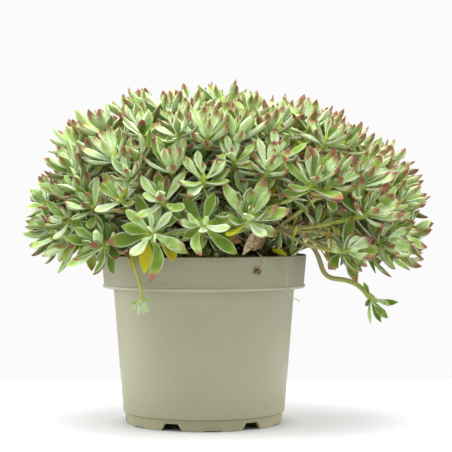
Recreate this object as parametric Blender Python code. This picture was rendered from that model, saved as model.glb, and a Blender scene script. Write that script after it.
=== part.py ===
"""Potted echeveria: a tapered nursery pot, its soil, and branching leafy stems that end in
open rosettes. Metres, +Z up. The origin is on the pot's axis, on the surface it stands on;
the side that the picture shows faces -Y."""

import math
import random

import bmesh
import bpy
from mathutils import Matrix, Vector
from mathutils.bvhtree import BVHTree

MM = 0.001
UP = Vector((0.0, 0.0, 1.0))
CLEARANCE = 0.3 * MM
SEED = 41

# Nursery pot, size 17: outer radii and heights.
POT_HEIGHT = 138.4 * MM
WALL = 1.5 * MM
RIM_TOP_RADIUS = 86.0 * MM
RIM_FOOT_RADIUS = 83.9 * MM
RIM_BAND = 26.0 * MM
BODY_TOP_RADIUS = 76.0 * MM
BODY_FOOT_RADIUS = 67.7 * MM
FOOT_RING_RADIUS = 65.6 * MM
FOOT_RING_WIDTH = 3.0 * MM
FOOT_STEP = 9.6 * MM
FLOOR_UNDERSIDE = 7.0 * MM
BOSS_RADIUS = 12.0 * MM
POT_SIDES = 40

# Arches and shallow slots take turns round the foot ring; the drain holes stand by the arches.
ARCHES = 6
ARCH_TURN = math.radians(-23)
ARCH_FOOT, ARCH_TOP, ARCH_HEIGHT = 18.5 * MM, 11.8 * MM, 6.0 * MM
SLOT_WIDTH, SLOT_HEIGHT = 14 * MM, 0.8 * MM
DRAIN_RADIUS, DRAIN_CIRCLE = 4.5 * MM, 46 * MM
DRAIN_SIDES = 10

# Soil: mounded in the middle, rough on top, and clear of the wall by its play.
SOIL_EDGE = 131.5 * MM
SOIL_CROWN = 12.5 * MM
SOIL_PLAY = 1.2 * MM
SOIL_LUMP = 0.9 * MM
SOIL_RINGS = (0.0, 0.4, 0.75, 1.0)
SOIL_SIDES = 24
ROOTED = 26 * MM
HOLE_PLAY = 0.5 * MM

# How the picture sees the plant: its scale at the pot's axis, and the eye's height and distance.
PIXEL = 0.8416 * MM
AXIS_PIXEL, GROUND_PIXEL, HORIZON_PIXEL = 204.0, 421.5, 209.0
EYE_DISTANCE = 1.35

# The heads' growing points lie about this ellipsoid, which leans over the pot's right side.
DOME_CENTRE = Vector((17, 0, 172)) * MM
DOME_HALF = Vector((152, 128, 90)) * MM
HEADS = 128
SEEN_SPACING, FILL_SPACING = 22 * MM, 29 * MM
FILL_SWELL = (0.90, 1.02)
FILL_LEAF = (17.5 * MM, 23.5 * MM)
FILL_POINTS, FILL_HEIGHT_RANGE = 900, 1.42
OVER_POT, OVER_POT_HEIGHT = 100 * MM, 160 * MM
HEADS_PER_STEM, STEM_REACH = 3, 62 * MM
# Growing points seen too close together step back or forward by turns.
DEPTH_STEP = 5 * MM
DEPTH_TRIES = (0, 1, -1, 2, -2, 3, 4, 5, 6, 7)

# Heads read off the picture: pixels across and down to the growing point, and the leaf length.
SEEN_HEADS = (
    (154, 233, 40), (205, 226, 34), (104, 246, 30), (251, 219, 33), (309, 182, 33),
    (362, 217, 29), (211, 144, 30), (239, 139, 30), (178, 168, 31), (357, 182, 29),
    (84, 153, 27), (117, 157, 29), (168, 185, 27), (206, 181, 28), (265, 168, 27),
    (150, 117, 26), (219, 105, 25), (306, 133, 25), (341, 149, 27), (326, 147, 25),
    (80, 192, 25), (93, 210, 24), (124, 201, 24), (133, 175, 22), (146, 158, 24),
    (245, 201, 24), (276, 156, 23), (187, 130, 24), (198, 111, 21), (246, 118, 23),
    (266, 136, 25), (112, 138, 26), (126, 121, 22), (140, 136, 23), (233, 160, 22),
    (371, 158, 23), (395, 184, 25), (399, 203, 22), (392, 226, 24), (402, 242, 21),
    (399, 256, 21), (380, 240, 27), (345, 251, 27), (371, 252, 24), (106, 216, 23),
    (47, 191, 17), (46, 208, 18), (50, 226, 19), (70, 223, 21), (74, 241, 27),
    (176, 140, 22), (66, 168, 21), (385, 206, 21),
)
# In the picture, no other growing point stands outside this outline of pixels.
GROWING_OUTLINE = (
    (42, 238), (44, 188), (70, 152), (110, 126), (150, 112), (219, 102), (262, 122), (306, 127),
    (345, 143), (376, 158), (402, 184), (408, 222), (402, 252), (345, 254), (300, 236), (250, 226),
    (130, 240), (74, 248),
)
# The right front stays bare stems, seen through a gap: its left, right, top and bottom pixels.
BARE_GAP = (268, 344, 190, 252)

# Two shoots hang over the rim: pixels and depth along each, its thickness and its last leaves.
TRAILING_STEM = (
    (276, 250, -14), (306, 238, -17), (319, 258, -20), (323, 272, -21), (331, 279, -22),
    (346, 279, -24), (360, 285, -26), (370, 296, -27),
)
TRAILING_SPRIG = (
    (158, 250, -44), (143, 243, -62), (133, 252, -76), (134, 264, -80), (141, 280, -81),
    (143, 297, -80),
)
TRAILING_LEAF, TRAILING_THICKNESS = 22 * MM, 2.6 * MM
SPRIG_LEAF, SPRIG_THICKNESS = 10 * MM, 1.5 * MM

STEM_RADIUS, SHOOT_RADIUS = 2.7 * MM, 2.1 * MM
RING_STEP = 34 * MM
FORK_LENGTH = 6 * MM
FORK_SHARE = 0.45
FOOT_CIRCLE, FOOT_LIMIT, FOOT_ROOM = 62 * MM, 70 * MM, 13 * MM
FOOT_FAN = math.radians(100)
USUAL_LEAF, BIG_LEAF, OPEN_LEAF = 20 * MM, 22.5 * MM, 29 * MM

# A rosette's hub, for usual leaves: heights and radii of its rings, in millimetres, and its bud.
HUB_FOOT, HUB_MIDDLE, HUB_TOP = (-1.2, 2.8), (1.8, 3.0), (4.4, 2.1)
BUD_HEIGHT, BUD_SHARE = 6.0, 0.28
# How far rosettes lean up, and how far their leaves rise when closed and by how much less when open.
OPEN_TILT, USUAL_TILT, LOW_TILT, LEAN = 0.25, 0.55, 0.2, 0.15
OUTER_RISE, OUTER_FALL = math.radians(44), math.radians(30)
INNER_RISE, INNER_FALL = math.radians(66), math.radians(18)
RISE_SPREAD = math.radians(5)
INNER_LEAF = 0.80

# A leaf: shares of its length where its sections stand, and each one's share of the half width.
LEAF_STATIONS = ((0.40, 0.62, 0.80), (0.70, 1.00, 1.00))
LEAF_WIDTH, LEAF_DEPTH = 0.42, 0.135
LEAF_BOW = math.radians(20)

# What a leaf tries, in turn, where it would meet a neighbour: raised, turned (degrees), shortened.
LEAF_TRIES = (
    (0, 0, 1.0), (9, 0, 1.0), (0, 12, 1.0), (0, -12, 1.0), (-9, 0, 1.0), (18, 0, 0.95),
    (9, 12, 0.88), (9, -12, 0.88), (0, 0, 0.8), (20, 8, 0.78), (20, -8, 0.78), (10, 0, 0.62),
    (26, 0, 0.6),
)
LEAF_MARGIN = 0.5 * MM
# Leaves are tested from these shares of the way to their first section: bare, and with the margin.
BARE_FROM, SWOLLEN_FROM = 0.1, 0.45
STEM_TRIES, STEM_BEND = 24, 26 * MM

GREEN = (0.30, 0.42, 0.20)
POT_COLOUR = (0.36, 0.35, 0.24)
SOIL_COLOUR = (0.07, 0.045, 0.03)


def clear_scene():
    for obj in list(bpy.data.objects):
        bpy.data.objects.remove(obj, do_unlink=True)


def material(name, colour, roughness):
    """A plain Principled BSDF with one colour."""
    made = bpy.data.materials.new(name)
    made.use_nodes = True
    shader = made.node_tree.nodes["Principled BSDF"]
    shader.inputs["Base Color"].default_value = (*colour, 1.0)
    shader.inputs["Roughness"].default_value = roughness
    shader.inputs["Metallic"].default_value = 0.0
    return made


def finished(name, bm, surface, smooth_angle=None):
    """Turns a bmesh into a named object with its material."""
    mesh = bpy.data.meshes.new(name)
    bm.to_mesh(mesh)
    bm.free()
    mesh.materials.append(surface)
    if smooth_angle:
        mesh.shade_smooth()
        mesh.set_sharp_from_angle(angle=smooth_angle)
    obj = bpy.data.objects.new(name, mesh)
    bpy.context.collection.objects.link(obj)
    return obj


def around(angle, radius, height):
    """A point round the pot's axis, with angle 0 at the front and 90 degrees at the right."""
    return Vector((radius * math.sin(angle), -radius * math.cos(angle), height))


def turned(profile, sides):
    """A bmesh turned round Z from (radius, height) points, whose first and last lie on the axis."""
    bm = bmesh.new()
    rings = []
    for radius, height in profile:
        if radius == 0:
            rings.append([bm.verts.new((0, 0, height))] * sides)
        else:
            turns = [2 * math.pi * k / sides for k in range(sides)]
            rings.append([bm.verts.new(around(turn, radius, height)) for turn in turns])
    for lower, upper in zip(rings, rings[1:]):
        for k in range(sides):
            n = (k + 1) % sides
            corners = [lower[k], lower[n], upper[n], upper[k]]
            bm.faces.new(list(dict.fromkeys(corners)))
    bmesh.ops.recalc_face_normals(bm, faces=bm.faces)
    return bm


def prism(outline, start, end):
    """A closed prism: outline gives the corners, start and end move them to its two caps."""
    bm = bmesh.new()
    first = [bm.verts.new(start @ Vector(corner)) for corner in outline]
    last = [bm.verts.new(end @ Vector(corner)) for corner in outline]
    bm.faces.new(first)
    bm.faces.new(last)
    for k in range(len(outline)):
        n = (k + 1) % len(outline)
        bm.faces.new((first[k], first[n], last[n], last[k]))
    bmesh.ops.recalc_face_normals(bm, faces=bm.faces)
    return bm


def cut(target, cutters):
    """Subtracts the cutters from the target, applies it and removes them."""
    group = bpy.data.collections.new(target.name + "_cutters")
    bpy.context.scene.collection.children.link(group)
    for cutter in cutters:
        cutter.hide_render = True
        cutter.display_type = "WIRE"
        bpy.context.collection.objects.unlink(cutter)
        group.objects.link(cutter)
    boolean = target.modifiers.new("Cut", "BOOLEAN")
    boolean.operation = "DIFFERENCE"
    boolean.operand_type = "COLLECTION"
    boolean.collection = group
    bpy.context.view_layer.objects.active = target
    bpy.ops.object.modifier_apply(modifier=boolean.name)
    for cutter in cutters:
        bpy.data.objects.remove(cutter, do_unlink=True)
    bpy.data.collections.remove(group)


def body_radius(height):
    """The pot's outer radius between its foot step and the rim band."""
    share = (height - FOOT_STEP) / (POT_HEIGHT - RIM_BAND - FOOT_STEP)
    return BODY_FOOT_RADIUS + (BODY_TOP_RADIUS - BODY_FOOT_RADIUS) * share


def make_pot(plastic):
    """Stepped wall, rolled rim band, raised floor with a centre boss, arched foot ring."""
    ledge = POT_HEIGHT - RIM_BAND
    floor_top = FLOOR_UNDERSIDE + WALL
    inner_foot = FOOT_RING_RADIUS - FOOT_RING_WIDTH
    lip = 0.6 * MM
    profile = (
        (0, 0),
        (BOSS_RADIUS, 0),
        (BOSS_RADIUS, FLOOR_UNDERSIDE),
        (inner_foot - 1 * MM, FLOOR_UNDERSIDE),
        (inner_foot, 0),
        (FOOT_RING_RADIUS, 0),
        (FOOT_RING_RADIUS + 0.6 * MM, FOOT_STEP - 0.8 * MM),
        (BODY_FOOT_RADIUS, FOOT_STEP),
        (BODY_TOP_RADIUS, ledge),
        (RIM_FOOT_RADIUS - 1.2 * MM, ledge),
        (RIM_FOOT_RADIUS, ledge + 1.2 * MM),
        (RIM_TOP_RADIUS, POT_HEIGHT - lip),
        (RIM_TOP_RADIUS - lip, POT_HEIGHT),
        (RIM_TOP_RADIUS - WALL, POT_HEIGHT),
        (RIM_FOOT_RADIUS - WALL, ledge + WALL),
        (BODY_TOP_RADIUS - WALL, ledge + WALL),
        (body_radius(FOOT_STEP) - WALL, FOOT_STEP + WALL),
        (inner_foot + 1 * MM, floor_top),
        (0, floor_top),
    )
    pot = finished("pot", turned(profile, POT_SIDES), plastic, math.radians(30))
    across = 9 * MM
    cutters = []
    for k in range(ARCHES):
        turn = ARCH_TURN + 2 * math.pi * k / ARCHES
        shapes = (
            (turn, ARCH_FOOT, ARCH_TOP, ARCH_HEIGHT),
            (turn + math.pi / ARCHES, SLOT_WIDTH, SLOT_WIDTH, SLOT_HEIGHT),
        )
        for angle, foot, top, height in shapes:
            below = -2 * MM
            outline = ((-foot / 2, 0, below), (foot / 2, 0, below), (foot / 2, 0, 0),
                       (top / 2, 0, height), (-top / 2, 0, height), (-foot / 2, 0, 0))
            seat = Matrix.Rotation(angle, 4, "Z")
            ring = FOOT_RING_RADIUS - FOOT_RING_WIDTH / 2
            near = seat @ Matrix.Translation((0, -ring - across, 0))
            far = seat @ Matrix.Translation((0, -ring + across, 0))
            cutters.append(finished("arch_cutter", prism(outline, near, far), plastic))
        outline = [around(2 * math.pi * s / DRAIN_SIDES, DRAIN_RADIUS, 0) for s in range(DRAIN_SIDES)]
        low = Matrix.Translation(around(turn, DRAIN_CIRCLE, FLOOR_UNDERSIDE - 3 * MM))
        high = Matrix.Translation(around(turn, DRAIN_CIRCLE, floor_top + 3 * MM))
        cutters.append(finished("drain_cutter", prism(outline, low, high), plastic))
    cut(pot, cutters)
    return pot


def soil_height(x, y):
    """The soil's smooth top, before its lumps."""
    share = min(1.0, math.hypot(x, y) / RIM_FOOT_RADIUS)
    return SOIL_EDGE + SOIL_CROWN * (1 - share * share)


def make_soil(earth, feet):
    """Fills the pot inside, clear of its wall, with a plain hole for each rooted stem."""
    rng = random.Random(SEED)
    ledge = POT_HEIGHT - RIM_BAND
    bm = bmesh.new()
    inset = WALL + SOIL_PLAY
    levels = (
        (FOOT_RING_RADIUS - FOOT_RING_WIDTH - inset / 2, FLOOR_UNDERSIDE + WALL + CLEARANCE),
        (body_radius(FOOT_STEP) - inset, FOOT_STEP + WALL + CLEARANCE),
        (BODY_TOP_RADIUS - inset, ledge + WALL + CLEARANCE),
        (RIM_FOOT_RADIUS - inset, ledge + WALL + 2 * CLEARANCE),
    )
    top_edge = RIM_FOOT_RADIUS - WALL + (RIM_TOP_RADIUS - RIM_FOOT_RADIUS) / 2 - SOIL_PLAY
    rings = []
    for radius, height in levels:
        rings.append([around(2 * math.pi * k / SOIL_SIDES, radius, height) for k in range(SOIL_SIDES)])
    for share in reversed(SOIL_RINGS):
        ring = []
        for k in range(SOIL_SIDES):
            point = around(2 * math.pi * k / SOIL_SIDES, top_edge * share, 0)
            lump = rng.uniform(-SOIL_LUMP, SOIL_LUMP) if 0 < share < 1 else 0
            point.z = soil_height(point.x, point.y) + lump
            ring.append(point)
        rings.append(ring)
    base = bm.verts.new((0, 0, levels[0][1]))
    crown = bm.verts.new((0, 0, soil_height(0, 0)))
    made = [[base] * SOIL_SIDES]
    made += [[bm.verts.new(point) for point in ring] for ring in rings[:-1]]
    made.append([crown] * SOIL_SIDES)
    for lower, upper in zip(made, made[1:]):
        for k in range(SOIL_SIDES):
            n = (k + 1) % SOIL_SIDES
            corners = [lower[k], lower[n], upper[n], upper[k]]
            bm.faces.new(list(dict.fromkeys(corners)))
    bmesh.ops.triangulate(bm, faces=bm.faces)
    bmesh.ops.recalc_face_normals(bm, faces=bm.faces)
    soil = finished("soil", bm, earth)
    cutters = []
    for foot, radius in feet:
        hole = radius + HOLE_PLAY
        outline = [around(math.pi * (2 * s + 1) / 4, hole, 0) for s in range(4)]
        level = soil_height(foot.x, foot.y)
        low = Matrix.Translation((foot.x, foot.y, level - ROOTED - CLEARANCE))
        high = Matrix.Translation((foot.x, foot.y, level + 6 * MM))
        cutters.append(finished("root_cutter", prism(outline, low, high), earth))
    cut(soil, cutters)
    return soil


class Head:
    """One rosette: where it grows from, which way it faces, and how long its leaves are."""

    def __init__(self, place, leaf, rng, facing=None):
        self.place = place
        self.leaf = leaf
        self.size = min(1.25, max(0.55, leaf / USUAL_LEAF))
        self.big = leaf > BIG_LEAF
        wide_open = leaf > OPEN_LEAF
        offset = place - DOME_CENTRE
        normal = Vector([offset[i] / DOME_HALF[i] ** 2 for i in range(3)]).normalized()
        low = max(0.0, -offset.z / DOME_HALF.z)
        lean = Vector([rng.uniform(-LEAN, LEAN) for _ in range(3)])
        tilt = (OPEN_TILT if wide_open else USUAL_TILT) + LOW_TILT * low
        self.facing = facing or (normal + UP * tilt + lean).normalized()
        self.leaves = 5 if self.big else 4
        openness = 1.0 if wide_open else rng.uniform(0.0, 0.8)
        self.outer_rise = OUTER_RISE - OUTER_FALL * openness
        self.inner_rise = INNER_RISE - INNER_FALL * openness


def seen_point(across, down, depth):
    """The point at a pixel of the picture, at a depth behind the pot's axis."""
    scale = PIXEL * (EYE_DISTANCE + depth) / EYE_DISTANCE
    eye = (GROUND_PIXEL - HORIZON_PIXEL) * PIXEL
    return Vector(((across - AXIS_PIXEL) * scale, depth, eye - (down - HORIZON_PIXEL) * scale))


def in_picture(point):
    """Where the picture sees a point, in pixels across and down."""
    scale = PIXEL * (EYE_DISTANCE + point.y) / EYE_DISTANCE
    eye = (GROUND_PIXEL - HORIZON_PIXEL) * PIXEL
    return AXIS_PIXEL + point.x / scale, HORIZON_PIXEL + (eye - point.z) / scale


def on_dome_front(across, down):
    """The depth at which a pixel's line of sight meets the dome, or its rim if it passes by."""
    depth = -0.5 * DOME_HALF.y
    for _ in range(6):
        offset = seen_point(across, down, depth) - DOME_CENTRE
        reach = (offset.x / DOME_HALF.x) ** 2 + (offset.z / DOME_HALF.z) ** 2
        depth = DOME_CENTRE.y - DOME_HALF.y * math.sqrt(max(0.0, 1 - reach))
    return depth


def clear_of(place, heads, spacing):
    return all((place - head.place).length > spacing for head in heads)


def seen_heads(rng):
    """The heads of the picture. Where two are seen too close, one stands behind the other."""
    heads = []
    for across, down, leaf_pixels in SEEN_HEADS:
        front = on_dome_front(across, down)
        places = [seen_point(across, down, front + DEPTH_STEP * k) for k in DEPTH_TRIES]
        free = [place for place in places if clear_of(place, heads, SEEN_SPACING)]
        place = (free or places)[0]
        scale = PIXEL * (EYE_DISTANCE + place.y) / EYE_DISTANCE
        heads.append(Head(place, leaf_pixels * scale, rng))
    return heads


def in_bare_gap(point):
    across, down = in_picture(point)
    left, right, top, bottom = BARE_GAP
    return point.y < 0 and left < across < right and top < down < bottom


def in_outline(point):
    """True where the picture would see the point inside the outline of growing points."""
    across, down = in_picture(point)
    inside = False
    for (x, y), (next_x, next_y) in zip(GROWING_OUTLINE, GROWING_OUTLINE[1:] + GROWING_OUTLINE[:1]):
        if (y > down) != (next_y > down) and across < x + (down - y) * (next_x - x) / (next_y - y):
            inside = not inside
    return inside


def fill_heads(heads, rng):
    """Fills the rest of the dome, golden-angle points first, down to its overhanging skirt."""
    golden = math.pi * (3 - math.sqrt(5))
    spacing = FILL_SPACING
    while len(heads) < HEADS and spacing > SEEN_SPACING:
        for k in range(FILL_POINTS):
            height = 1 - FILL_HEIGHT_RANGE * (k + 0.5) / FILL_POINTS
            radius = math.sqrt(max(0.0, 1 - height * height))
            turn = golden * k
            unit = Vector((radius * math.cos(turn), radius * math.sin(turn), height))
            swell = rng.uniform(*FILL_SWELL)
            place = DOME_CENTRE + Vector([unit[i] * DOME_HALF[i] * swell for i in range(3)])
            over_pot = math.hypot(place.x, place.y) < OVER_POT
            too_low = place.z < (OVER_POT_HEIGHT if over_pot else POT_HEIGHT)
            hidden = too_low or in_bare_gap(place) or not in_outline(place)
            if hidden or not clear_of(place, heads, spacing):
                continue
            heads.append(Head(place, rng.uniform(*FILL_LEAF), rng))
            if len(heads) == HEADS:
                break
        spacing -= 1.5 * MM
    return heads


def grouped(heads):
    """Shares the heads out among the leafy stems: each takes the next head and its nearest ones."""
    left = sorted(heads, key=lambda head: (head.place.z, head.place.x))
    groups = []
    while left:
        first = left.pop(0)
        near = sorted(left, key=lambda head: (head.place - first.place).length)
        near = near[: HEADS_PER_STEM - 1]
        mates = [head for head in near if (head.place - first.place).length < STEM_REACH]
        for mate in mates:
            left.remove(mate)
        groups.append([first, *mates])
    return groups


def curve_points(start, start_handle, end_handle, end, count):
    """Points and tangents along a cubic curve."""
    made = []
    for k in range(count + 1):
        t = k / count
        a, b, c, d = (1 - t) ** 3, 3 * (1 - t) ** 2 * t, 3 * (1 - t) * t * t, t ** 3
        point = start * a + start_handle * b + end_handle * c + end * d
        e, f, g = 3 * (1 - t) ** 2, 6 * (1 - t) * t, 3 * t * t
        slope = (start_handle - start) * e + (end_handle - start_handle) * f + (end - end_handle) * g
        made.append((point, slope.normalized()))
    return made


class Grower:
    """Grows one leafy stem's mesh ring by ring, each face outward, with no overlap to join."""

    def __init__(self):
        self.bm = bmesh.new()

    def ring(self, centre, spokes, radius):
        return [self.bm.verts.new(centre + spoke * radius) for spoke in spokes]

    def skin(self, lower, upper):
        """Side faces between two rings of as many corners; returns them in order."""
        count = len(lower)
        faces = []
        for k in range(count):
            n = (k + 1) % count
            faces.append(self.bm.faces.new((lower[k], lower[n], upper[n], upper[k])))
        return faces

    def tube(self, ring, spokes, tangent, stations):
        """Carries a ring along (point, tangent, radius) stations, turning it as little as it can."""
        sides = []
        for point, direction, radius in stations:
            turn = tangent.rotation_difference(direction)
            spokes = [turn @ spoke for spoke in spokes]
            upper = self.ring(point, spokes, radius)
            sides.append(self.skin(ring, upper))
            ring, tangent = upper, direction
        return ring, spokes, sides

    def tree(self):
        """A search tree of what is grown so far, its open root triangles filled in."""
        self.bm.verts.index_update()
        points = [vert.co.copy() for vert in self.bm.verts]
        self.corners = [[vert.index for vert in face.verts] for face in self.bm.faces]
        return BVHTree.FromPolygons(points, self.corners)

    def meets_itself(self, tree):
        return any(
            not set(self.corners[a]) & set(self.corners[b]) for a, b in tree.overlap(tree) if a < b
        )

    def stitch(self, lower, upper, start):
        """A band of triangles between two rings; the upper one starts a share of a turn round."""
        below, above = len(lower), len(upper)
        i = j = 0
        while i < below or j < above:
            if j == above or (i < below and (i + 1) / below <= start + (j + 1) / above):
                self.bm.faces.new((lower[i % below], lower[(i + 1) % below], upper[j % above]))
                i += 1
            else:
                self.bm.faces.new((lower[i % below], upper[(j + 1) % above], upper[j % above]))
                j += 1


def leaf_sections(root, axis, outward, length, rise, bow, plain, swell=0.0):
    """The corners (keel, right, left) of a leaf's sections and its tip, from its root's middle."""
    side = axis.cross(outward).normalized()
    stations = LEAF_STATIONS[1:] if plain else LEAF_STATIONS
    marks = [share for share, _, _ in stations] + [1.0]
    point, walked, sections = root.copy(), 0.0, []
    for k, mark in enumerate(marks):
        angle = rise - bow / 2 + bow * (mark + walked) / 2
        along = outward * math.cos(angle) + axis * math.sin(angle)
        point = point + along * (mark - walked) * length
        walked = mark
        if k == len(stations):
            return sections, point + along * swell
        over = axis * math.cos(angle) - outward * math.sin(angle)
        _, width, depth = stations[k]
        half = length * LEAF_WIDTH / 2 * width + swell
        thick = length * LEAF_DEPTH * depth + swell
        sections.append((point - over * thick, point + side * half + over * swell,
                         point - side * half + over * swell))
    return sections, point


def leaf_tree(roots, sections, tip, clear_share):
    """A closed search tree of a leaf, from a share of the way to its first section to its tip."""
    start = [low.lerp(high, clear_share) for low, high in zip(roots, sections[0])]
    rings = [start, *sections]
    points = [corner for ring in rings for corner in ring] + [tip]
    faces = [(0, 2, 1)]
    for r in range(len(rings) - 1):
        for k in range(3):
            a, b = 3 * r + k, 3 * r + (k + 1) % 3
            faces += [(a, b, b + 3), (a, b + 3, a + 3)]
    last = 3 * (len(rings) - 1)
    faces += [(last + k, last + (k + 1) % 3, len(points) - 1) for k in range(3)]
    return BVHTree.FromPolygons(points, faces, all_triangles=True), points


class Obstacles:
    """What is already grown, so that a leaf can be bent clear of it."""

    def __init__(self):
        self.items = []

    def add(self, tree, points, owner):
        middle = sum(points, Vector()) / len(points)
        reach = max((point - middle).length for point in points)
        self.items.append((tree, middle, reach, owner))

    def add_mesh(self, bm, owner):
        points = [vert.co.copy() for vert in bm.verts]
        bm.verts.index_update()
        faces = [[vert.index for vert in face.verts] for face in bm.faces]
        self.add(BVHTree.FromPolygons(points, faces), points, owner)

    def meets(self, swollen, bare, points, owner):
        """True where the swollen leaf meets another plant part, or the bare one its own rosette."""
        middle = sum(points, Vector()) / len(points)
        reach = max((point - middle).length for point in points)
        return any(
            (place - middle).length < far + reach
            and (bare.overlap(item) or (other != owner and swollen.overlap(item)))
            for item, place, far, other in self.items
        )


def grow_leaf(grower, root_face, head, inner, obstacles, rng):
    """Grows one leaf out of a root triangle (keel, right, left), or leaves the triangle closed."""
    corners = list(root_face)
    roots = [corner.co for corner in corners]
    root = sum(roots, Vector()) / 3
    outward = corners[0].co - head.place
    outward = (outward - head.facing * outward.dot(head.facing)).normalized()
    length = head.leaf * rng.uniform(0.88, 1.06) * (INNER_LEAF if inner else 1.0)
    rise = (head.inner_rise if inner else head.outer_rise) + rng.uniform(-RISE_SPREAD, RISE_SPREAD)
    bow = LEAF_BOW * rng.uniform(0.3, 1.5)
    plain = inner or not head.big
    for raised, turned_by, share in LEAF_TRIES:
        spin = Matrix.Rotation(math.radians(turned_by), 3, head.facing)
        place = (root, head.facing, spin @ outward, length * share, rise + math.radians(raised), bow, plain)
        sections, tip = leaf_sections(*place)
        bare, points = leaf_tree(roots, sections, tip, BARE_FROM)
        swollen, _ = leaf_tree(roots, *leaf_sections(*place, swell=LEAF_MARGIN), SWOLLEN_FROM)
        if not obstacles.meets(swollen, bare, points, head):
            break
    else:
        grower.bm.faces.new(corners)
        return
    obstacles.add(bare, points, head)
    ring = corners
    for section in sections:
        upper = [grower.bm.verts.new(corner) for corner in section]
        grower.skin(ring, upper)
        ring = upper
    end = grower.bm.verts.new(tip)
    for k in range(3):
        grower.bm.faces.new((ring[k], ring[(k + 1) % 3], end))


def hub_rings(grower, ring, spokes, head):
    """The short swollen stem tip: two rings above the tube's last one, each half a step round."""
    count, place, axis, size = head.leaves, head.place, head.facing, head.size * MM
    base = spokes[0]
    start = 0.0

    def hub_ring(step, level):
        height, radius = level
        turns = [Matrix.Rotation(2 * math.pi * (k + step) / count, 3, axis) for k in range(count)]
        return grower.ring(place + axis * height * size, [turn @ base for turn in turns], radius * size)

    lower = ring
    if count != len(ring):
        start = 0.5
        lower = hub_ring(start, HUB_FOOT)
        grower.stitch(ring, lower, start / count)
    return lower, hub_ring(start + 0.5, HUB_MIDDLE), hub_ring(start + 1.0, HUB_TOP)


def grow_head(grower, ring, spokes, head):
    """Builds a rosette's hub and bud, and returns the root triangles of its two whorls."""
    lower, middle, upper = hub_rings(grower, ring, spokes, head)
    count = head.leaves
    roots = []
    for inner, (below, above) in enumerate(((lower, middle), (middle, upper))):
        for k in range(count):
            n = (k + 1) % count
            grower.bm.faces.new((below[k], below[n], above[k]))
            if inner and k % 2 and not head.big:
                grower.bm.faces.new((below[n], above[n], above[k]))
            else:
                roots.append((inner, (below[n], above[n], above[k])))
    bud_height = BUD_HEIGHT * MM * head.size + BUD_SHARE * head.leaf
    bud = grower.bm.verts.new(head.place + head.facing * bud_height)
    for k in range(count):
        grower.bm.faces.new((upper[k], upper[(k + 1) % count], bud))
    return roots


def square_spokes(first, second):
    return [(first * a + second * b).normalized() for a, b in ((-1, -1), (-1, 1), (1, 1), (1, -1))]


def stem_foot(group):
    """Where a leafy stem is rooted: the soil's disc is shared out as the dome above it is."""
    mean = sum((head.place for head in group), Vector()) / len(group)
    offset = mean - Vector((DOME_CENTRE.x, DOME_CENTRE.y, POT_HEIGHT - ROOTED))
    steep = math.atan2(math.hypot(offset.x, offset.y), offset.z) / FOOT_FAN
    flat = Vector((offset.x, offset.y, 0)).normalized()
    foot = flat * FOOT_CIRCLE * min(1.0, steep)
    foot.z = soil_height(foot.x, foot.y)
    return foot


def spread_feet(groups, taken):
    """Pushes the feet apart, and clear of the taken ones, until soil is left between their holes."""
    feet = [stem_foot(group) for group in groups]
    for _ in range(80):
        for a in range(len(feet)):
            for b in range(a):
                gap = feet[a] - feet[b]
                gap.z = 0
                if gap.length < FOOT_ROOM:
                    push = (gap.normalized() or Vector((1, 0, 0))) * (FOOT_ROOM - gap.length) / 2
                    feet[a] += push
                    feet[b] -= push
            for fixed in taken:
                gap = feet[a] - fixed
                gap.z = 0
                if gap.length < FOOT_ROOM:
                    feet[a] += gap.normalized() * (FOOT_ROOM - gap.length)
        for foot in feet:
            far_out = math.hypot(foot.x, foot.y) / FOOT_LIMIT
            if far_out > 1:
                foot /= far_out
    for foot in feet:
        foot.z = soil_height(foot.x, foot.y)
    return feet


def trailing_shoots(rng):
    """The two shoots over the rim: (point, direction, radius) stations from the soil, and a head."""
    trails = []
    shoots = (
        (TRAILING_STEM, TRAILING_THICKNESS, TRAILING_LEAF, Vector((0.75, -0.35, -0.55))),
        (TRAILING_SPRIG, SPRIG_THICKNESS, SPRIG_LEAF, Vector((0.1, -0.25, -0.95))),
    )
    for path, thickness, leaf, facing in shoots:
        points = [seen_point(across, down, depth * MM) for across, down, depth in path]
        points[0].z = soil_height(points[0].x, points[0].y)
        points.insert(1, points[0] + UP * 4 * MM)
        stations = []
        for k, point in enumerate(points[:-1]):
            before = points[max(0, k - 1)]
            direction = (points[k + 1] - before).normalized() if k > 1 else UP
            stations.append((point, direction, thickness))
        head = Head(points[-1], leaf, rng, facing.normalized())
        stations.append((points[-1] - head.facing * 2 * MM, head.facing, thickness))
        trails.append((stations, head))
    return trails


def grow_trail(grower, stations, head):
    """One hanging shoot, rooted in the soil and led over the rim."""
    foot, _, radius = stations[0]
    first = Vector((1, 0, 0))
    spokes = square_spokes(first, first.cross(UP))
    ring = grower.ring(foot - UP * ROOTED, spokes, radius)
    grower.bm.faces.new(list(reversed(ring)))
    ring, spokes, _ = grower.tube(ring, spokes, UP, stations[1:])
    return [(inner, root, head) for inner, root in grow_head(grower, ring, spokes, head)]


def sway(bend, rng):
    return Vector([rng.uniform(-bend, bend) for _ in range(3)])


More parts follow.
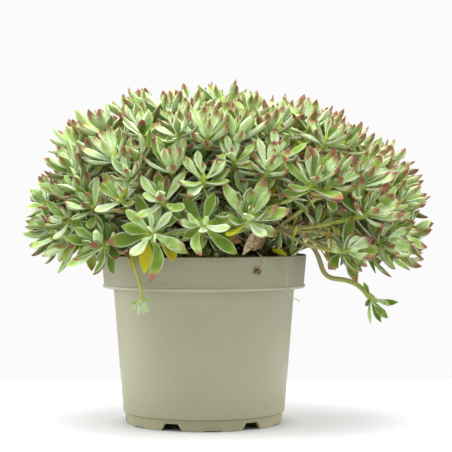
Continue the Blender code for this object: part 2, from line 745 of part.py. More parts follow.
def grow_stem(grower, group, foot, bend, rng):
    """One leafy stem: a leader from its foot to the group's middle head, and a shoot to each other."""
    mean = sum((head.place for head in group), Vector()) / len(group)
    leader = min(group, key=lambda head: (head.place - mean).length)
    others = [head for head in group if head is not leader]
    below = foot - UP * ROOTED
    first = Vector((1, 0, 0))
    spokes = square_spokes(first, first.cross(UP))
    ring = grower.ring(below, spokes, STEM_RADIUS)
    grower.bm.faces.new(list(reversed(ring)))

    start = foot + UP * 3 * MM
    span = (leader.place - start).length
    handle = start + UP * 0.34 * span + sway(bend, rng)
    end_handle = leader.place - leader.facing * 0.30 * span + sway(bend, rng)
    count = max(3, round(span / RING_STEP))
    fine = curve_points(start, handle, end_handle, leader.place - leader.facing * 2 * MM, count * 8)
    fork = round(FORK_SHARE * len(fine)) if others else None
    marks = [round(k * (len(fine) - 1) / count) for k in range(1, count + 1)]
    stations = [(start, UP, STEM_RADIUS)]
    if others:
        point, direction = fine[fork]
        marks = [mark for mark in marks if abs(mark - fork) > 5]
        stations += [(*fine[mark], STEM_RADIUS) for mark in marks if mark < fork]
        stations += [(point - direction * FORK_LENGTH / 2, direction, STEM_RADIUS)]
        stations += [(point + direction * FORK_LENGTH / 2, direction, STEM_RADIUS * 0.95)]
        fork_side = len(stations) - 1
        stations += [(*fine[mark], SHOOT_RADIUS) for mark in marks if mark > fork]
    else:
        stations += [(*fine[mark], SHOOT_RADIUS) for mark in marks]
    ring, spokes, sides = grower.tube(ring, spokes, UP, stations)
    roots = [(inner, root, leader) for inner, root in grow_head(grower, ring, spokes, leader)]

    free = list(sides[fork_side]) if others else []
    for head in others:
        aim = (head.place - point).normalized()
        side = max(free, key=lambda face: (face.normal_update(), face.normal.dot(aim))[1])
        free.remove(side)
        roots += [(inner, root, head) for inner, root in grow_shoot(grower, side, head, bend, rng)]
    return roots


def grow_shoot(grower, side, head, bend, rng):
    """A side shoot out of one side face of the leader's fork, up to its own head."""
    corners = list(side.verts)
    side.normal_update()
    normal = side.normal.copy()
    middle = side.calc_center_median()
    along = (corners[3].co - corners[0].co).normalized()
    across = normal.cross(along).normalized() * -1
    grower.bm.faces.remove(side)
    span = (head.place - middle).length
    out = (normal + along * 0.6).normalized()
    handle = middle + out * 0.35 * span + sway(bend, rng)
    end_handle = head.place - head.facing * 0.35 * span + sway(bend, rng)
    count = max(2, round(span / RING_STEP))
    fine = curve_points(middle, handle, end_handle, head.place - head.facing * 2 * MM, count)
    stations = [(point, direction, SHOOT_RADIUS) for point, direction in fine[1:]]
    near = middle + out * 5 * MM
    stations.insert(0, (near, out, SHOOT_RADIUS))
    turn = normal.rotation_difference(out)
    spokes = [turn @ spoke for spoke in square_spokes(along, across)]
    ring, spokes, _ = grower.tube(corners, spokes, out, stations)
    return grow_head(grower, ring, spokes, head)


def main():
    clear_scene()
    rng = random.Random(SEED)
    leaf_skin = material("leaf", GREEN, 0.6)
    plastic = material("pot_plastic", POT_COLOUR, 0.45)
    earth = material("potting_soil", SOIL_COLOUR, 0.95)

    heads = fill_heads(seen_heads(rng), rng)
    groups = grouped(heads)
    trails = trailing_shoots(rng)
    trail_feet = [(stations[0][0], stations[0][2]) for stations, _ in trails]
    feet = spread_feet(groups, [foot for foot, _ in trail_feet])
    pot = make_pot(plastic)
    soil = make_soil(earth, [(foot, STEM_RADIUS) for foot in feet] + trail_feet)

    obstacles = Obstacles()
    for solid in (pot, soil):
        bm = bmesh.new()
        bm.from_mesh(solid.data)
        obstacles.add_mesh(bm, solid.name)
        bm.free()

    stems = []
    for stations, head in trails:
        grower = Grower()
        stems.append((grower, grow_trail(grower, stations, head)))
    trees = [grower.tree() for grower, _ in stems]
    for group, foot in zip(groups, feet):
        for attempt in range(STEM_TRIES):
            bend = STEM_BEND * attempt / STEM_TRIES
            grower = Grower()
            roots = grow_stem(grower, group, foot, bend, rng)
            tree = grower.tree()
            if not grower.meets_itself(tree) and not any(tree.overlap(other) for other in trees):
                break
        else:
            raise ValueError("no clear way was found for a leafy stem")
        stems.append((grower, roots))
        trees.append(tree)
    for grower, _ in stems:
        obstacles.add_mesh(grower.bm, "stem")
    for grower, roots in stems:
        for inner, root, head in roots:
            grow_leaf(grower, root, head, inner, obstacles, rng)
    for number, (grower, _) in enumerate(stems, start=1):
        finished(f"leafy_stem_{number:02d}", grower.bm, leaf_skin)


main()
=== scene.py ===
"""Potted echeveria: fine leaves, stems, pot, soil, moss and litter over the CAD frame."""

import math
import random

import bmesh
import bpy
import numpy as np
from mathutils import Matrix, Vector, kdtree


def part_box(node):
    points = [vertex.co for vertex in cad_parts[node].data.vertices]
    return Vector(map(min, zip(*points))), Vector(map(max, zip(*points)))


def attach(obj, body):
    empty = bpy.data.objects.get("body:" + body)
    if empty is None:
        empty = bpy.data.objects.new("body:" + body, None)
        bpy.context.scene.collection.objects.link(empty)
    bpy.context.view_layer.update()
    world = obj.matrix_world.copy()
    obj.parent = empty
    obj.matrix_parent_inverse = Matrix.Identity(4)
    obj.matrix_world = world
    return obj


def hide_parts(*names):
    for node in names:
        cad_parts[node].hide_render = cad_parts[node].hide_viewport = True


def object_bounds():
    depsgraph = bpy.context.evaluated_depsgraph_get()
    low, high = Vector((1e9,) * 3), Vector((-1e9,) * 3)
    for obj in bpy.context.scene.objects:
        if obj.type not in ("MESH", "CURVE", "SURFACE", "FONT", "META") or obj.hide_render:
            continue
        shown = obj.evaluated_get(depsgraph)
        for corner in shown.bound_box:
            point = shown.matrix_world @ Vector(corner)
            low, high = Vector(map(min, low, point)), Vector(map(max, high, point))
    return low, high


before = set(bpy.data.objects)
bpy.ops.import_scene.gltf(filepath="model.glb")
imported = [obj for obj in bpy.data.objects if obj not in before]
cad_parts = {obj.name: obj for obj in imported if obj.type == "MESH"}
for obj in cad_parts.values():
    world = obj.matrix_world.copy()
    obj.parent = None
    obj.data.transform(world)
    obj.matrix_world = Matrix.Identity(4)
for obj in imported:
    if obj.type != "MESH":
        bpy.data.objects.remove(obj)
CAD_BOX = [list(corner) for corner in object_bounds()]

bl_info = {
    "name": "Potted Echeveria",
    "version": (1, 0, 0),
    "blender": (4, 5, 0),
    "location": "View3D > Sidebar > Echeveria",
    "description": "Dresses the plant's leafy stems, pot and soil, and sets the studio",
    "category": "Object",
}

MM = 0.001
SEED = 11
STEM_NODES = sorted(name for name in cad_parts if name.startswith("leafy_stem"))

# How the picture sees the plant: its scale at the pot's axis, and the eye's height and distance.
PIXEL = 0.8416 * MM
AXIS_PIXEL, HORIZON_PIXEL = 204.0, 209.0
EYE_HEIGHT, EYE_DISTANCE = 179 * MM, 1.35

# The pot and its soil, as the CAD has them.
POT_HEIGHT = 138.4 * MM
RIM_FOOT_RADIUS = 83.9 * MM
FOOT_RING_RADIUS = 65.6 * MM
FLOOR_UNDERSIDE, FLOOR_TOP = 7.0 * MM, 8.5 * MM
ARCHES, ARCH_TURN = 6, math.radians(-23)
SOIL_SEAT, SOIL_EDGE, SOIL_CROWN = 113.9 * MM, 131.5 * MM, 12.5 * MM
SOIL_RADIUS = 82.2 * MM
# Points that are closer than this are one point.
DOUBLED = 1e-5


def colour_value(name, description, default):
    """A colour setting."""
    return bpy.props.FloatVectorProperty(
        name=name, description=description, default=default, subtype="COLOR", min=0, max=1)


def count_value(name, description, default, most):
    """A setting for how many of something there are."""
    return bpy.props.IntProperty(
        name=name, description=description, default=default, min=0, max=most)


class PlantSettings(bpy.types.PropertyGroup):
    """Sizes and colours of the leaves and stems."""

    deep_green: colour_value(
        "Deep green", "Green of the darkest leaves and of midribs", (0.105, 0.182, 0.018))
    leaf_green: colour_value("Leaf green", "Green of usual leaves", (0.358, 0.560, 0.038))
    young_green: colour_value(
        "Young green", "Pale bloom of the young, downy leaves", (0.790, 0.865, 0.800))
    downy_edge: colour_value("Downy edge", "Pale hairs along the margins", (0.890, 0.920, 0.810))
    tip_red: colour_value("Tip red", "Red-brown of the tips and margins", (0.165, 0.036, 0.030))
    old_leaf: colour_value(
        "Old leaf", "Yellow of the leaves that are about to drop", (0.570, 0.600, 0.012))
    stem_green: colour_value("Stem green", "Young stems near the rosettes", (0.420, 0.530, 0.050))
    stem_brown: colour_value("Stem brown", "Old, woody stems", (0.430, 0.375, 0.150))
    heart_leaves: count_value(
        "Heart leaves", "Small upright leaves in the middle of a rosette", 3, 8)
    middle_leaves: count_value("Middle leaves", "Leaves between the CAD model's leaves", 1, 8)
    lower_leaves: count_value("Lower leaves", "Older, spreading leaves below a rosette", 2, 8)
    leaf_growth: bpy.props.FloatProperty(
        name="Leaf growth", description="Length of a fine leaf over its CAD leaf's",
        default=1.36, min=0.8, max=1.6, subtype="FACTOR")
    leaf_width: bpy.props.FloatProperty(
        name="Leaf width", description="Width of an added leaf as a share of its length",
        default=0.45, min=0.2, max=0.8, subtype="FACTOR")


class PotSettings(bpy.types.PropertyGroup):
    """Colours of the pot, and how matt it is."""

    plastic: colour_value("Plastic", "The pot's taupe plastic", (0.318, 0.311, 0.203))
    # Real scuffs and cloudiness, and also a painted highlight: this lighter colour is laid along the
    # rim's bead for the bright line that light draws there.
    worn_and_highlight: colour_value("Worn plastic", "Rubbed edges and faint scuffs", (0.430, 0.418, 0.290))
    roughness: bpy.props.FloatProperty(
        name="Roughness", description="How matt the plastic is",
        default=0.42, min=0, max=1, subtype="FACTOR")
    # Painted shade: this darker colour on the rim band stands in for the shadow that the overhanging
    # plant casts on it.
    rim_painted_shade: colour_value(
        "Rim band", "The slightly darker plastic of the rim band", (0.250, 0.236, 0.150))


class SoilSettings(bpy.types.PropertyGroup):
    """Colours of the soil and moss, and how many crumbs and sprigs lie on it."""

    earth: colour_value("Earth", "Moist potting soil", (0.240, 0.155, 0.080))
    moss: colour_value("Moss", "Sprigs of moss", (0.200, 0.330, 0.035))
    crumbs: count_value("Crumbs", "Crumbs of soil and bark", 900, 4000)
    sprigs: count_value("Moss sprigs", "Sprigs of moss on the soil", 700, 3000)


class StageSettings(bpy.types.PropertyGroup):
    """Colours and strengths of the studio."""

    floor: colour_value("Floor", "The pale floor", (0.565, 0.570, 0.575))
    # Painted light: a glow that only the camera sees, lifting the floor's shadows towards white.
    painted_floor_glow: bpy.props.FloatProperty(
        name="Floor glow", description="How far the floor is lifted towards white",
        default=0.10, min=0, max=1)
    surround: bpy.props.FloatProperty(
        name="Surround", description="Strength of the light from all round",
        default=1.27, min=0, max=4)
    side_light: bpy.props.FloatProperty(
        name="Side light", description="Power of the two soft side lights",
        default=8.2, min=0, unit="POWER")
    top_light: bpy.props.FloatProperty(
        name="Top light", description="Power of the soft light above",
        default=24.5, min=0, unit="POWER")


def seen_point(across, down, depth):
    """The point that the picture shows at this pixel, at this depth behind the pot's axis."""
    scale = PIXEL * (EYE_DISTANCE + depth) / EYE_DISTANCE
    return Vector(((across - AXIS_PIXEL) * scale, depth, EYE_HEIGHT + (HORIZON_PIXEL - down) * scale))


def seen_at(point):
    """The pixels, across and down, where the picture shows a point."""
    scale = PIXEL * (EYE_DISTANCE + point.y) / EYE_DISTANCE
    return AXIS_PIXEL + point.x / scale, HORIZON_PIXEL - (point.z - EYE_HEIGHT) / scale


def around(angle, radius, height):
    """A point round the pot's axis, with angle 0 at the front and 90 degrees at the right."""
    return Vector((radius * math.sin(angle), -radius * math.cos(angle), height))


def smooth_step(value, low, high):
    """0 at low, 1 at high, and smooth between them."""
    share = min(1.0, max(0.0, (value - low) / (high - low)))
    return share * share * (3 - 2 * share)


def soil_height(x, y):
    """The soil's smooth top."""
    share = min(1.0, math.hypot(x, y) / RIM_FOOT_RADIUS)
    return SOIL_EDGE + SOIL_CROWN * (1 - share * share)


def alone(*objects):
    """Selects these objects and nothing else, with the first one active."""
    bpy.ops.object.select_all(action="DESELECT")
    for obj in objects:
        obj.select_set(True)
    bpy.context.view_layer.objects.active = objects[0]


def edit(obj):
    """Opens one object's mesh for editing with nothing selected in it."""
    alone(obj)
    bpy.ops.object.mode_set(mode="EDIT")
    bpy.ops.mesh.select_all(action="DESELECT")


def close():
    """Leaves edit mode."""
    bpy.ops.object.mode_set(mode="OBJECT")


def choose(obj, test, parts="verts"):
    """Selects, of the open mesh, only the vertices or faces that pass the test."""
    bpy.ops.mesh.select_mode(type={"verts": "VERT", "faces": "FACE"}[parts])
    bpy.ops.mesh.select_all(action="DESELECT")
    bm = bmesh.from_edit_mesh(obj.data)
    for part in getattr(bm, parts):
        if test(part):
            part.select_set(True)
    bm.select_flush(True)
    bmesh.update_edit_mesh(obj.data)


def modify(obj, kind, name, **values):
    """Adds a modifier with these values and applies it."""
    alone(obj)
    modifier = obj.modifiers.new(name, kind)
    for key, value in values.items():
        setattr(modifier, key, value)
    bpy.ops.object.modifier_apply(modifier=modifier.name)


def settle(obj):
    """Puts the object's place, turn and size into its mesh."""
    alone(obj)
    bpy.ops.object.transform_apply(location=True, rotation=True, scale=True)


def new_shape(operator, **values):
    """A new primitive, made by its operator with these values."""
    bpy.ops.object.select_all(action="DESELECT")
    operator(**values)
    return bpy.context.object


def join_parts(parts):
    """Joins the parts into the first one and smooths its shading."""
    alone(*parts)
    if len(parts) > 1:
        bpy.ops.object.join()
    bpy.ops.object.shade_smooth()
    return parts[0]


def duplicate(obj, name):
    """A copy of the object with its own mesh, free of its parent and of its rig_ values."""
    copied = obj.copy()
    copied.data = obj.data.copy()
    bpy.context.scene.collection.objects.link(copied)
    copied.parent = None
    copied.name = name
    copied.data.name = name
    copied.hide_render = False
    copied.hide_viewport = False
    for key in list(copied.keys()):
        if key.startswith("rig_"):
            del copied[key]
    return copied


def keep(obj, name, slot, *nodes):
    """Names a finished piece, puts it on the frame's body, and stands it in for its CAD nodes."""
    settle(obj)
    obj.name = name
    obj.data.name = name
    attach(obj, "root")
    if nodes:
        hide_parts(*nodes)


def paint(obj, material):
    """Gives the object this material and no other."""
    obj.data.materials.clear()
    obj.data.materials.append(material)


def mesh_object(name, points, faces):
    """A mesh object from arrays of points and of faces."""
    mesh = bpy.data.meshes.new(name)
    mesh.from_pydata([tuple(point) for point in points], [], [tuple(face) for face in faces])
    mesh.update()
    obj = bpy.data.objects.new(name, mesh)
    bpy.context.scene.collection.objects.link(obj)
    return obj


def point_values(mesh, name, values):
    """Stores three numbers on each point of the mesh."""
    attribute = mesh.attributes.get(name) or mesh.attributes.new(name, "FLOAT_VECTOR", "POINT")
    attribute.data.foreach_set("vector", np.asarray(values, dtype=np.float32).ravel())


class Wiring:
    """Adds nodes to a shader's tree, each set and linked in one call."""

    def __init__(self, tree):
        self.tree = tree

    def add(self, kind, inputs=None, **settings):
        """A new node with these settings, and its inputs linked or set."""
        node = self.tree.nodes.new(kind)
        for key, value in settings.items():
            setattr(node, key, value)
        for key, value in (inputs or {}).items():
            self.feed(node.inputs[key], value)
        return node

    def feed(self, socket, value):
        """Links an output to the socket, or sets its plain value."""
        if isinstance(value, bpy.types.NodeSocket):
            self.tree.links.new(value, socket)
        else:
            socket.default_value = (*value, 1.0) if socket.type == "RGBA" and len(value) == 3 else value

    def sums(self, operation, *values, held=True):
        """A math node's result, held between 0 and 1 unless it is let free."""
        node = self.add("ShaderNodeMath", dict(enumerate(values)), operation=operation, use_clamp=held)
        return node.outputs[0]

    def times(self, first, second):
        """A product, held between 0 and 1."""
        return self.sums("MULTIPLY", first, second)

    def step(self, value, low, high, least=0.0, most=1.0):
        """A smooth step from low to high."""
        return self.add("ShaderNodeMapRange", {
            "Value": value, "From Min": low, "From Max": high, "To Min": least, "To Max": most,
        }, interpolation_type="SMOOTHSTEP").outputs["Result"]

    def mix(self, share, first, second):
        """Two colours mixed by a share."""
        node = self.add("ShaderNodeMix", data_type="RGBA", clamp_factor=True)
        for socket, value in ((0, share), (6, first), (7, second)):
            self.feed(node.inputs[socket], value)
        return node.outputs[2]

    def tinted(self, colour, mask, share, other):
        """A colour mixed with another one by a share of a mask."""
        return self.mix(self.times(mask, share), colour, other)

    def stored(self, name):
        """The three numbers stored on the mesh under this name."""
        vector = self.add("ShaderNodeAttribute", attribute_name=name).outputs["Vector"]
        return tuple(self.add("ShaderNodeSeparateXYZ", {"Vector": vector}).outputs)

    def effect(self, group, **inputs):
        """A shared effect's output, placed with its own values."""
        return self.add("ShaderNodeGroup", inputs, node_tree=group).outputs[0]


def effect_group(name, output, **inputs):
    """An empty node group with named inputs and one output, and its wiring."""
    group = bpy.data.node_groups.new(name, "ShaderNodeTree")
    group.interface.new_socket("Vector", in_out="INPUT", socket_type="NodeSocketVector")
    for key, value in inputs.items():
        socket = group.interface.new_socket(key, in_out="INPUT", socket_type="NodeSocketFloat")
        socket.default_value = value
    group.interface.new_socket(output, in_out="OUTPUT", socket_type="NodeSocketFloat")
    wiring = Wiring(group)
    return group, wiring, wiring.add("NodeGroupInput").outputs, wiring.add("NodeGroupOutput").inputs[0]


def mottle_group():
    """Soft blotches: a mask from noise, between two thresholds."""
    if "Mottle" in bpy.data.node_groups:
        return bpy.data.node_groups["Mottle"]
    group, wiring, given, out = effect_group(
        "Mottle", "Mask", Scale=50.0, Detail=3.0, Low=0.35, High=0.65)
    noise = wiring.add("ShaderNodeTexNoise", {key: given[key] for key in ("Vector", "Scale", "Detail")})
    wiring.feed(out, wiring.step(noise.outputs[0], given["Low"], given["High"]))
    return group


def speckle_group():
    """Scattered round specks: a mask from the cells of a Voronoi pattern."""
    if "Speckle" in bpy.data.node_groups:
        return bpy.data.node_groups["Speckle"]
    group, wiring, given, out = effect_group("Speckle", "Mask", Scale=400.0, Size=0.2, Share=0.3)
    cells = wiring.add("ShaderNodeTexVoronoi", {"Vector": given["Vector"], "Scale": given["Scale"]})
    small = wiring.step(cells.outputs["Distance"], given["Size"], 0.0)
    parts = wiring.add("ShaderNodeSeparateColor", {"Color": cells.outputs["Color"]})
    some = wiring.sums("LESS_THAN", parts.outputs[0], given["Share"])
    wiring.feed(out, wiring.times(small, some))
    return group


def grain_group():
    """Fine relief for a Bump node: coarse and fine noise together."""
    if "Grain" in bpy.data.node_groups:
        return bpy.data.node_groups["Grain"]
    group, wiring, given, out = effect_group("Grain", "Height", Scale=600.0, Fine=0.5)
    finer = wiring.sums("MULTIPLY", given["Scale"], 3.7, held=False)
    coarse, fine = (
        wiring.add("ShaderNodeTexNoise", {
            "Vector": given["Vector"], "Scale": scale, "Detail": detail}).outputs[0]
        for scale, detail in ((given["Scale"], 4.0), (finer, 2.0)))
    wiring.feed(out, wiring.sums("MULTIPLY_ADD", fine, given["Fine"], coarse, held=False))
    return group


class Finish(Wiring):
    """A material with one Principled shader; a low line in a socket's name stands for a space."""

    def __init__(self, name, **constants):
        self.material = bpy.data.materials.new(name)
        self.material.use_nodes = True
        super().__init__(self.material.node_tree)
        self.shader = self.tree.nodes["Principled BSDF"]
        self.place = self.add("ShaderNodeTexCoord").outputs["Object"]
        self.set(**constants)

    def set(self, **values):
        """Links or sets the shader's sockets."""
        for key, value in values.items():
            self.feed(self.shader.inputs[key.replace("_", " ")], value)

    def blotches(self, scale, low, high, detail=3.0, place=None):
        """A mask of soft blotches, over the object's own place unless another is given."""
        return self.effect(mottle_group(), Vector=place or self.place, Scale=scale, Detail=detail,
                           Low=low, High=high)

    def specks(self, scale, size, share):
        """A mask of scattered specks."""
        return self.effect(speckle_group(), Vector=self.place, Scale=scale, Size=size, Share=share)

    def grain(self, scale, fine):
        """The height of a fine relief."""
        return self.effect(grain_group(), Vector=self.place, Scale=scale, Fine=fine)

    def raised(self, height, strength, depth):
        """The finished material, with this relief."""
        bump = self.add("ShaderNodeBump", {"Strength": strength, "Distance": depth, "Height": height})
        self.set(Normal=bump.outputs[0])
        return self.material


def leaf_finish(plant):
    """Downy leaves: pale bloom above, greener below, pale margins, red tips, and old yellow ones."""
    if "leaf_down" in bpy.data.materials:
        return bpy.data.materials["leaf_down"]
    skin = Finish(
        "leaf_down", Sheen_Weight=0.08, Sheen_Roughness=0.35, Sheen_Tint=(0.90, 0.95, 0.82),
        Subsurface_Weight=0.18, Subsurface_Scale=0.0025, Subsurface_Radius=(0.6, 1.0, 0.3),
        Specular_IOR_Level=0.15)
    sums, times, step, mix, tinted = skin.sums, skin.times, skin.step, skin.mix, skin.tinted
    across, along, side = skin.stored("leaf_place")
    tone, red, age = skin.stored("leaf_look")
    margin_way = sums("ABSOLUTE", across)
    broad = skin.blotches(70.0, 0.30, 0.70)
    fine = skin.blotches(420.0, 0.30, 0.72)
    upper = step(side, -0.15, 0.35)
    below = sums("SUBTRACT", 1.0, upper)

    shade = sums("MULTIPLY_ADD", broad, 0.35, tone)
    green = mix(step(shade, 0.10, 0.95), plant.deep_green, plant.leaf_green)
    green = tinted(green, step(margin_way, 0.22, 0.0), times(upper, 0.35), plant.deep_green)
    downy = sums("MULTIPLY_ADD", broad, 0.50, times(tone, 0.80))
    bloom = step(downy, 0.33, 1.12, 0.02, 0.95)
    bloom = times(bloom, step(along, 1.0, 0.25, 0.55, 1.0))
    bloom = times(bloom, step(margin_way, 0.05, 0.85, 0.58, 1.0))
    bloom = times(bloom, step(tone, 0.0, 0.42, 0.35, 1.0))
    lively = step(tone, 0.0, 0.5, 0.25, 1.0)
    bloom = sums("MAXIMUM", bloom, times(lively, step(margin_way, 0.50, 1.0, 0.0, 0.35)))
    bloom = times(bloom, step(fine, 0.0, 1.0, 0.72, 1.0))
    bloom = times(bloom, step(upper, 0.0, 1.0, 0.64, 1.0))
    colour = mix(bloom, green, plant.young_green)
    colour = tinted(colour, below, times(lively, 0.14), plant.young_green)
    colour = tinted(colour, step(along, 0.28, 0.0), 0.45, plant.stem_green)
    frayed = sums("MULTIPLY_ADD", fine, 0.30, 0.60)
    colour = tinted(colour, step(margin_way, 0.80, 0.95), frayed, plant.downy_edge)

    spread = sums("MULTIPLY_ADD", broad, 0.16, times(red, 0.20), held=False)
    tip = step(sums("ADD", along, spread, held=False), 0.87, 1.25)
    rim = times(step(margin_way, 0.87, 0.99), step(along, 0.25, 0.70))
    keel = times(step(margin_way, 0.95, 0.10), step(along, 0.28, 0.90))
    redness = sums("MAXIMUM", tip, times(rim, 0.95))
    redness = sums("MAXIMUM", redness, times(times(keel, below), 0.85))
    redness = times(redness, step(red, 0.0, 0.62))
    ragged = sums("MULTIPLY_ADD", fine, 0.16, redness)
    redness = times(step(ragged, 0.10, 1.02, 0.0, 0.95), step(redness, 0.0, 0.35))
    wine = mix(step(redness, 0.40, 0.92), (0.29, 0.140, 0.050), plant.tip_red)
    wine = tinted(wine, fine, 0.6, (0.30, 0.115, 0.065))
    wine = tinted(wine, broad, 0.32, (0.40, 0.180, 0.125))
    colour = mix(redness, colour, wine)

    colour = mix(age, colour, tinted(plant.old_leaf, broad, 0.42, (0.52, 0.24, 0.02)))
    withered = mix(tone, (0.25, 0.130, 0.060), (0.72, 0.56, 0.37))
    withered = tinted(withered, fine, 0.75, (0.24, 0.125, 0.058))
    colour = mix(step(age, 1.0, 2.0), colour, withered)
    colour = tinted(colour, skin.specks(900.0, 0.35, 0.10), 0.35, (0.16, 0.10, 0.04))
    skin.set(Base_Color=colour, Roughness=step(fine, 0.0, 1.0, 0.58, 0.78))
    return skin.raised(skin.grain(900.0, 0.6), 0.35, 0.5 * MM)


def stem_finish(plant):
    """Stems: green under the rosettes, brown and scarred lower down."""
    skin = Finish("stem_skin", Sheen_Weight=0.15, Sheen_Roughness=0.5, Subsurface_Weight=0.06,
                  Subsurface_Scale=0.001, Specular_IOR_Level=0.35)
    years = skin.stored("stem_look")[0]
    fine = skin.blotches(700.0, 0.35, 0.70)
    aged = skin.sums("MULTIPLY_ADD", skin.blotches(110.0, 0.30, 0.70), 0.25, years)
    colour = skin.mix(skin.step(aged, 0.15, 1.05), plant.stem_green, plant.stem_brown)
    colour = skin.tinted(colour, fine, 0.30, (0.36, 0.33, 0.17))
    scars = skin.times(skin.specks(260.0, 0.42, 0.35), skin.step(years, 0.1, 0.6, 0.15, 0.8))
    colour = skin.mix(scars, colour, (0.10, 0.060, 0.030))
    skin.set(Base_Color=colour, Roughness=skin.step(fine, 0.0, 1.0, 0.55, 0.8))
    height = skin.sums("SUBTRACT", skin.grain(420.0, 0.5), skin.times(scars, 0.5))
    return skin.raised(height, 0.6, 0.7 * MM)


def plastic_finish(pot):
    """Satin taupe plastic: faint cloudiness, scuffs, a little soil dust, painted rim shade and a painted
    bead highlight.
    """
    skin = Finish(
        "pot_plastic_satin", Coat_Weight=0.14, Coat_Roughness=0.30, Specular_IOR_Level=0.45)
    step, mix, tinted = skin.step, skin.mix, skin.tinted
    fine = skin.blotches(260.0, 0.40, 0.65, detail=5.0)
    colour = tinted(pot.plastic, skin.blotches(14.0, 0.30, 0.70), 0.16, pot.worn_and_highlight)
    long_way = skin.add("ShaderNodeMapping", {"Vector": skin.place, "Scale": (1.0, 1.0, 0.12)})
    scuffs = skin.blotches(180.0, 0.62, 0.74, place=long_way.outputs[0])
    colour = tinted(colour, scuffs, 0.10, pot.worn_and_highlight)
    height = skin.add("ShaderNodeSeparateXYZ", {"Vector": skin.place}).outputs[2]
    dust = skin.times(fine, 0.30)
    colour = tinted(colour, step(height, 26 * MM, 6 * MM), dust, (0.40, 0.36, 0.20))
    # Painted shade: the rim band and all above it are darkened, standing in for the plant's shadow on
    # the rim.
    band = step(height, 116.6 * MM, 117.4 * MM, 0.0, 0.26)
    colour = mix(band, colour, pot.rim_painted_shade)
    # Painted highlight: the bead under the rim is lightened, standing in for the bright line that light
    # draws along it.
    painted_bead_highlight = step(height, 117.0 * MM, 116.2 * MM, 0.0, 0.9)
    colour = tinted(colour, step(height, 113.2 * MM, 114.4 * MM), painted_bead_highlight, pot.worn_and_highlight)
    ring = step(height, 10.4 * MM, 9.0 * MM, 0.0, 0.45)
    colour = mix(ring, colour, (0.262, 0.240, 0.122))
    colour = tinted(colour, skin.specks(120.0, 0.10, 0.12), 0.5, (0.20, 0.15, 0.09))
    skin.set(Base_Color=colour, Roughness=step(fine, 0.0, 1.0, pot.roughness, pot.roughness + 0.12))
    return skin.raised(skin.grain(500.0, 0.7), 0.10, 0.25 * MM)


def earth_finish(soil):
    """Dark, crumbly soil with pale grit."""
    skin = Finish("soil_crumb", Specular_IOR_Level=0.25)
    broad = skin.blotches(120.0, 0.35, 0.68)
    fine = skin.blotches(900.0, 0.38, 0.64, detail=5.0)
    colour = skin.mix(broad, soil.earth, (0.26, 0.165, 0.085))
    colour = skin.tinted(colour, fine, 0.6, (0.060, 0.034, 0.018))
    colour = skin.mix(skin.specks(520.0, 0.30, 0.07), colour, (0.50, 0.45, 0.36))
    skin.set(Base_Color=colour, Roughness=skin.step(broad, 0.0, 1.0, 0.80, 0.97))
    return skin.raised(skin.grain(300.0, 0.8), 0.9, 1.5 * MM)


def moss_finish(soil):
    """Moss: fresh to dull green."""
    skin = Finish("moss_sprig", Roughness=0.85, Sheen_Weight=0.2)
    colour = skin.mix(skin.blotches(90.0, 0.35, 0.65), soil.moss, (0.20, 0.20, 0.045))
    colour = skin.tinted(colour, skin.blotches(800.0, 0.35, 0.65), 0.5, (0.05, 0.09, 0.02))
    skin.set(Base_Color=colour)
    return skin.raised(skin.grain(900.0, 0.6), 0.5, 0.5 * MM)


def dry_finish(name, pale, dark):
    """Dry, papery plant matter between two colours."""
    skin = Finish(name, Subsurface_Weight=0.05, Subsurface_Scale=0.001, Specular_IOR_Level=0.3)
    fine = skin.blotches(1300.0, 0.35, 0.66)
    colour = skin.mix(skin.blotches(190.0, 0.35, 0.66), pale, dark)
    colour = skin.tinted(colour, fine, 0.35, pale)
    skin.set(Base_Color=colour, Roughness=skin.step(fine, 0.0, 1.0, 0.6, 0.85))
    return skin.raised(skin.grain(700.0, 0.6), 0.7, 0.6 * MM)


def floor_finish(stage):
    """A pale, faintly uneven studio floor, lifted towards white all round the pot's foot by a painted
    glow.
    """
    skin = Finish("studio_floor", Roughness=0.7, Emission_Color=(1.0, 1.0, 1.0))
    uneven = skin.blotches(3.0, 0.2, 0.8)
    seen = skin.add("ShaderNodeLightPath").outputs["Is Camera Ray"]
    away = skin.add("ShaderNodeVectorMath", {0: skin.place}, operation="LENGTH").outputs["Value"]
    # Painted light: beyond the pot's foot the floor glows for the camera alone, so its shadows are
    # lifted; within 62 mm of the axis it does not glow.
    glow = skin.step(away, 0.062, 0.085, 0.0, stage.painted_floor_glow)
    skin.set(Base_Color=skin.tinted(stage.floor, uneven, 0.3, (0.550, 0.556, 0.562)),
             Emission_Strength=skin.times(seen, glow))
    return skin.material


# A leaf's sections: how far along each stands, and its half width, its depth and its flat top's rise.
LEAF_RINGS = (
    (0.030, 0.32, 0.50, 0.30),
    (0.200, 0.38, 0.66, 0.25),
    (0.420, 0.72, 0.92, 0.14),
    (0.620, 0.98, 1.00, 0.10),
    (0.800, 0.72, 0.80, 0.12),
    (0.930, 0.25, 0.42, 0.20),
)
# A vertex is on a level, or off the leaf's middle plane, by these distances.
ON_LEVEL, OFF_MIDDLE = 1e-3, 1e-4
# Finished sections wait this far along Y, out of the way of those still to be chosen.
ASIDE = 2
# The groove along a leaf's flat top: half its width, where it starts and ends, and its depth.
GROOVE_HALF, GROOVE_START, GROOVE_END, GROOVE_DEPTH = 0.12, 0.1, 0.9, 0.16


